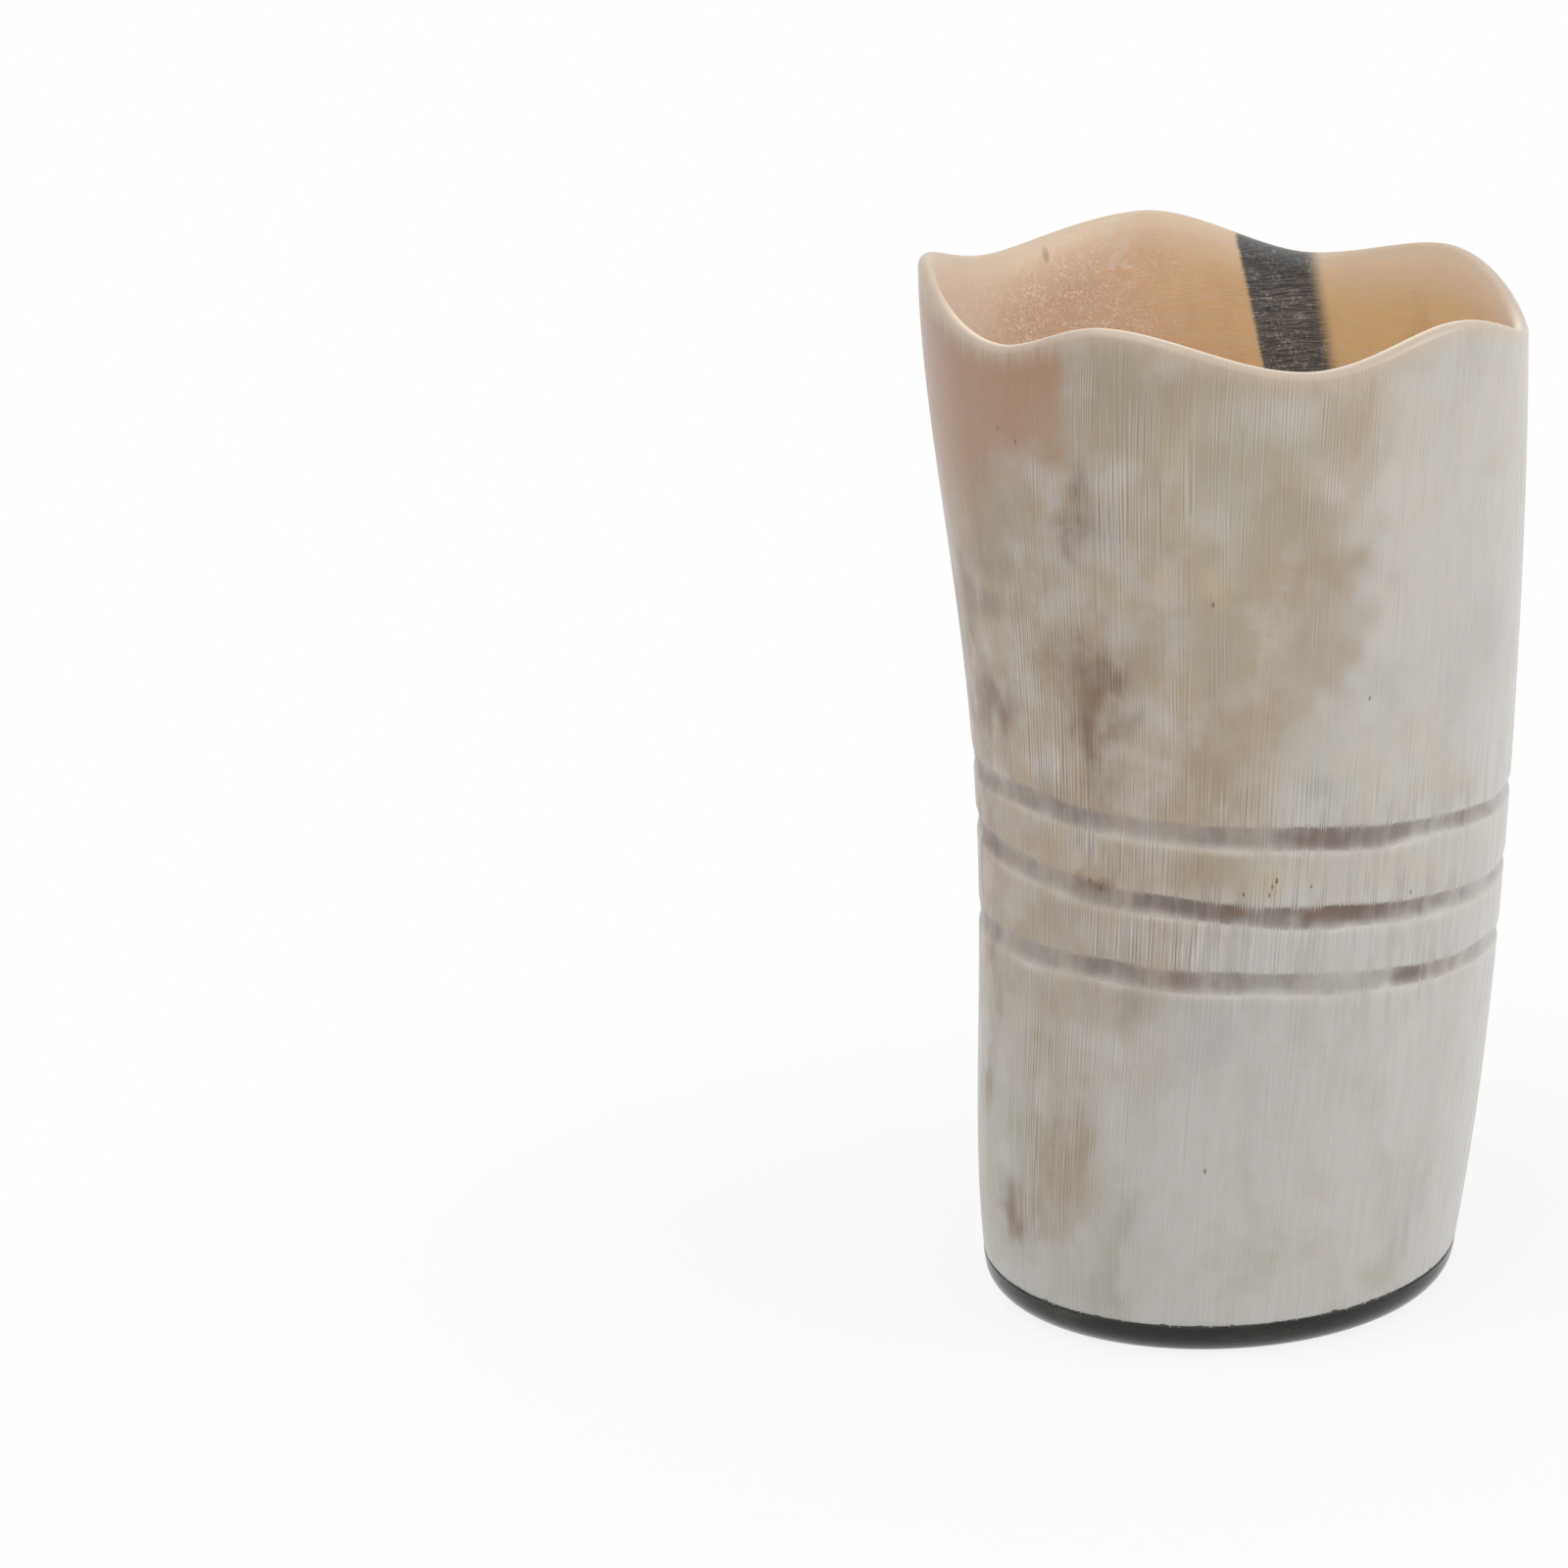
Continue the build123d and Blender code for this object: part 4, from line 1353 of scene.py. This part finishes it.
def base_rows(shape, turn):
    """Heights and distances from the middle line of the base's rows."""
    sizes = shape.sizes
    rows = []
    flat = shape.half_width(0.0) - sizes.base_rounding
    for part in UNDERSIDE_ROWS:
        rows.append((0.0, flat * part))
    for bend in np.linspace(0.0, math.pi / 2.0, ROUNDING_ROWS):
        height = sizes.base_rounding * (1.0 - math.cos(bend))
        stand_back = sizes.base_rounding * (1.0 - math.sin(bend))
        rows.append((height, shape.half_width(height) - stand_back))
    shoulder = shape.seam(turn) - sizes.glue_thickness
    for part in BASE_SIDE_ROWS:
        height = sizes.base_rounding + (shoulder - sizes.edge_rounding - sizes.base_rounding) * part
        rows.append((height, shape.half_width(height)))
    for part in np.linspace(1.0, 0.0, UPPER_EDGE_ROWS):
        height = shoulder - sizes.edge_rounding * part
        rows.append((height, shape.half_width(height) - worn_edge(shoulder - height, sizes.edge_rounding)))
    spigot = shape.seat - sizes.glue_thickness
    rows.append((shape.seam(turn, spigot) - sizes.glue_thickness, spigot))
    for part in SPIGOT_ROWS:
        rows.append((shape.seam(turn, spigot * part) + sizes.spigot_height, spigot * part))
    return as_rows(rows, turn)


# How far the glue stands back from the side, in roundings of the edge, and how uneven that is
GLUE_SET_BACK = 0.7
GLUE_UNEVEN = 0.25


def glue_rows(shape, turn):
    """Heights and distances from the middle line of the glue's rows: a ring and a sleeve."""
    sizes = shape.sizes
    spigot = shape.seat - sizes.glue_thickness
    squeezed = sizes.edge_rounding * (GLUE_SET_BACK + GLUE_UNEVEN * ripple(turn, "glue"))
    foot = shape.seam(turn)
    outer = shape.half_width(foot) - squeezed
    rows = (
        (shape.seam(turn, spigot) - sizes.glue_thickness, spigot),
        (foot - sizes.glue_thickness, outer),
        (foot + shape.chips(turn), outer),
        (shape.seam(turn, shape.seat), shape.seat),
        (shape.seam(turn, shape.seat) + sizes.spigot_height, shape.seat),
        (shape.seam(turn, spigot) + sizes.spigot_height, spigot),
    )
    return as_rows(rows, turn)


class HORNCUP_OT_horn_wall(bpy.types.Operator):
    """Make the pale horn wall with its scalloped rim and grooves"""

    bl_idname = "horncup.horn_wall"
    bl_label = "Horn Wall"

    def execute(self, context):
        shape = HornShape(context.scene.horncup_sizes)
        turn = even_turns(shape.sizes.columns)
        height, reach, inside, rim_cap, rim_edge = wall_rows(shape, turn)
        mesh = ring_mesh("horn_wall_finished", shape.point(turn, height, reach), closed=True)
        paint_horn(mesh, shape, np.broadcast_to(turn, height.shape), height, inside, rim_cap, rim_edge)
        place_piece(mesh, "horn_wall", make_pale_horn(context.scene.horncup_tones))
        return {"FINISHED"}


class HORNCUP_OT_base_plug(bpy.types.Operator):
    """Make the black horn base"""

    bl_idname = "horncup.base_plug"
    bl_label = "Base Plug"

    def execute(self, context):
        shape = HornShape(context.scene.horncup_sizes)
        turn = even_turns(shape.sizes.columns)
        height, reach = base_rows(shape, turn)
        mesh = ring_mesh("base_plug_finished", shape.point(turn, height, reach), closed=False)
        places = np.array([vertex.co for vertex in mesh.vertices])
        store(mesh, "grain_place", places)
        turn = np.arctan2(places[:, 0], -places[:, 1])
        # Paler olive lower edge, strongest toward -X: part olive horn, part painted highlight
        toward_left = smooth_step(0.5 - turn_between(turn, OLIVE_EDGE_TURN) / OLIVE_EDGE_SPREAD)
        toward_left = OLIVE_EDGE_LEAST + (1.0 - OLIVE_EDGE_LEAST) * toward_left
        low = 1.0 - smooth_step((places[:, 2] - OLIVE_EDGE_LOW) / OLIVE_EDGE_LOW)
        store(mesh, "worn", toward_left * low)
        store(mesh, "unrolled", unrolled_space(turn, places[:, 2], -math.pi))
        place_piece(mesh, "base_plug", make_dark_horn(context.scene.horncup_tones))
        return {"FINISHED"}


class HORNCUP_OT_glue_film(bpy.types.Operator):
    """Make the line of glue between the horn and the base"""

    bl_idname = "horncup.glue_film"
    bl_label = "Glue Film"

    def execute(self, context):
        shape = HornShape(context.scene.horncup_sizes)
        turn = even_turns(shape.sizes.columns)
        height, reach = glue_rows(shape, turn)
        mesh = ring_mesh("glue_film_finished", shape.point(turn, height, reach), closed=True)
        store(mesh, "grain_place", grain_space(turn, height).reshape(-1, 3))
        place_piece(mesh, "glue_film", make_glue(context.scene.horncup_tones))
        return {"FINISHED"}


def white_for_view(wires):
    """A share that is 1 for what the camera sees, straight, in a gloss or through glass."""
    path = wires.tree.nodes.new("ShaderNodeLightPath").outputs
    seen = wires.most(path["Is Camera Ray"], path["Is Glossy Ray"])
    return wires.most(seen, path["Is Transmission Ray"])


# Floor: its roughness, its share of white beside the cup, and the share of the shadow's reach at which it
# starts to run out to white
FLOOR_ROUGHNESS = 0.9
FLOOR_WHITE = 0.86
FLOOR_FADE_FROM = 0.25


def make_floor(stage):
    """A pale floor that keeps the cup's shadow and runs out to white away from it."""
    half = stage.floor_size / 2.0
    corners = [(-half, -half, 0.0), (half, -half, 0.0), (half, half, 0.0), (-half, half, 0.0)]
    mesh = bpy.data.meshes.new("floor")
    mesh.from_pydata(corners, [], [(0, 1, 2, 3)])
    floor = bpy.data.objects.new("floor", mesh)
    bpy.context.scene.collection.objects.link(floor)
    material, wires, shader = new_material("floor")
    mesh.materials.append(material)
    shader.inputs["Base Color"].default_value = colour(stage.floor_tone)
    shader.inputs["Roughness"].default_value = FLOOR_ROUGHNESS
    shader.inputs["Specular IOR Level"].default_value = 0.0
    place = wires.add("ShaderNodeNewGeometry", {}).outputs["Position"]
    distance = wires.add("ShaderNodeVectorMath", {0: place}, operation="LENGTH").outputs["Value"]
    far = wires.step(distance, FLOOR_FADE_FROM * stage.shadow_reach, stage.shadow_reach)
    white = wires.add("ShaderNodeEmission", {"Strength": 1.0})
    part = wires.times(white_for_view(wires), wires.weigh(far, 1.0 - FLOOR_WHITE, FLOOR_WHITE))
    blend = wires.add("ShaderNodeMixShader", {0: part, 1: shader.outputs[0], 2: white.outputs[0]})
    wires.feed(material.node_tree.nodes["Material Output"].inputs["Surface"], blend.outputs[0])


def make_world(stage):
    """Even light from all round, and a white background."""
    world = bpy.data.worlds.new("studio")
    world.use_nodes = True
    bpy.context.scene.world = world
    wires = Wires(world.node_tree)
    background = world.node_tree.nodes["Background"]
    background.inputs["Color"].default_value = (1.0, 1.0, 1.0, 1.0)
    strength = wires.weigh(white_for_view(wires), 1.0 - stage.world_strength, stage.world_strength)
    wires.feed(background.inputs["Strength"], strength)


# Soft lights: place and length of each side, in metres
SOFTBOXES = {
    "key": ((0.85, -0.30, 0.45), 0.8),
    "top": ((-0.25, -0.30, 1.00), 0.9),
    "fill": ((-0.30, -1.00, 0.55), 0.8),
}
CUP_MIDDLE = (0.0, 0.0, 60 * MM)


def make_softbox(name, place, size, power):
    """A square soft light that faces the cup."""
    light = bpy.data.lights.new(name, "AREA")
    light.size = size
    light.energy = power
    lamp = bpy.data.objects.new(name, light)
    bpy.context.scene.collection.objects.link(lamp)
    aim = Vector(CUP_MIDDLE) - Vector(place)
    lamp.matrix_world = Matrix.Translation(place) @ aim.to_track_quat("-Z", "Y").to_matrix().to_4x4()


# Width of the camera's sensor in mm
SENSOR_WIDTH = 36.0


def make_camera(stage):
    """A camera at the photograph's place and angle."""
    yaw, pitch, roll = stage.camera_yaw, stage.camera_pitch, stage.camera_roll
    ahead = Vector((math.sin(yaw) * math.cos(pitch), math.cos(yaw) * math.cos(pitch), math.sin(pitch)))
    level = Vector((math.cos(yaw), -math.sin(yaw), 0.0))
    upright = level.cross(ahead)
    right = level * math.cos(roll) + upright * math.sin(roll)
    up = upright * math.cos(roll) - level * math.sin(roll)
    data = bpy.data.cameras.new("camera")
    data.lens = stage.lens
    data.sensor_width = SENSOR_WIDTH
    data.sensor_fit = "HORIZONTAL"
    camera = bpy.data.objects.new("camera", data)
    bpy.context.scene.collection.objects.link(camera)
    turned = Matrix((right, up, -ahead)).transposed().to_4x4()
    camera.matrix_world = Matrix.Translation(Vector(stage.camera_place)) @ turned
    bpy.context.scene.camera = camera


class HORNCUP_OT_stage(bpy.types.Operator):
    """Set up the floor, the soft light and the camera"""

    bl_idname = "horncup.stage"
    bl_label = "Stage"

    def execute(self, context):
        stage = context.scene.horncup_stage
        make_floor(stage)
        make_world(stage)
        for name, (place, size) in SOFTBOXES.items():
            make_softbox(name, place, size, getattr(stage, name + "_power"))
        make_camera(stage)
        context.scene.view_settings.view_transform = "Standard"
        return {"FINISHED"}


class HORNCUP_PT_panel(bpy.types.Panel):
    """Lists the pieces of the cup, their sizes and their colours"""

    bl_idname = "HORNCUP_PT_panel"
    bl_label = "Horn Cup"
    bl_space_type = "VIEW_3D"
    bl_region_type = "UI"
    bl_category = "Horn Cup"

    def draw(self, context):
        for operator in OPERATORS:
            self.layout.operator(operator.bl_idname)
        for name, kind in SETTINGS.items():
            box = self.layout.box()
            for setting in kind.__annotations__:
                box.prop(getattr(context.scene, name), setting)


OPERATORS = (HORNCUP_OT_horn_wall, HORNCUP_OT_base_plug, HORNCUP_OT_glue_film, HORNCUP_OT_stage)
CLASSES = (CupSizes, HornTones, StageSettings) + OPERATORS + (HORNCUP_PT_panel,)
SETTINGS = {"horncup_sizes": CupSizes, "horncup_tones": HornTones, "horncup_stage": StageSettings}


def register():
    for item in CLASSES:
        bpy.utils.register_class(item)
    for name, kind in SETTINGS.items():
        setattr(bpy.types.Scene, name, PointerProperty(type=kind))


def unregister():
    for name in SETTINGS:
        delattr(bpy.types.Scene, name)
    for item in reversed(CLASSES):
        bpy.utils.unregister_class(item)


def main():
    register()
    make_effects()
    bpy.ops.horncup.horn_wall()
    bpy.ops.horncup.base_plug()
    bpy.ops.horncup.glue_film()
    bpy.ops.horncup.stage()


if __name__ == "__main__":
    main()
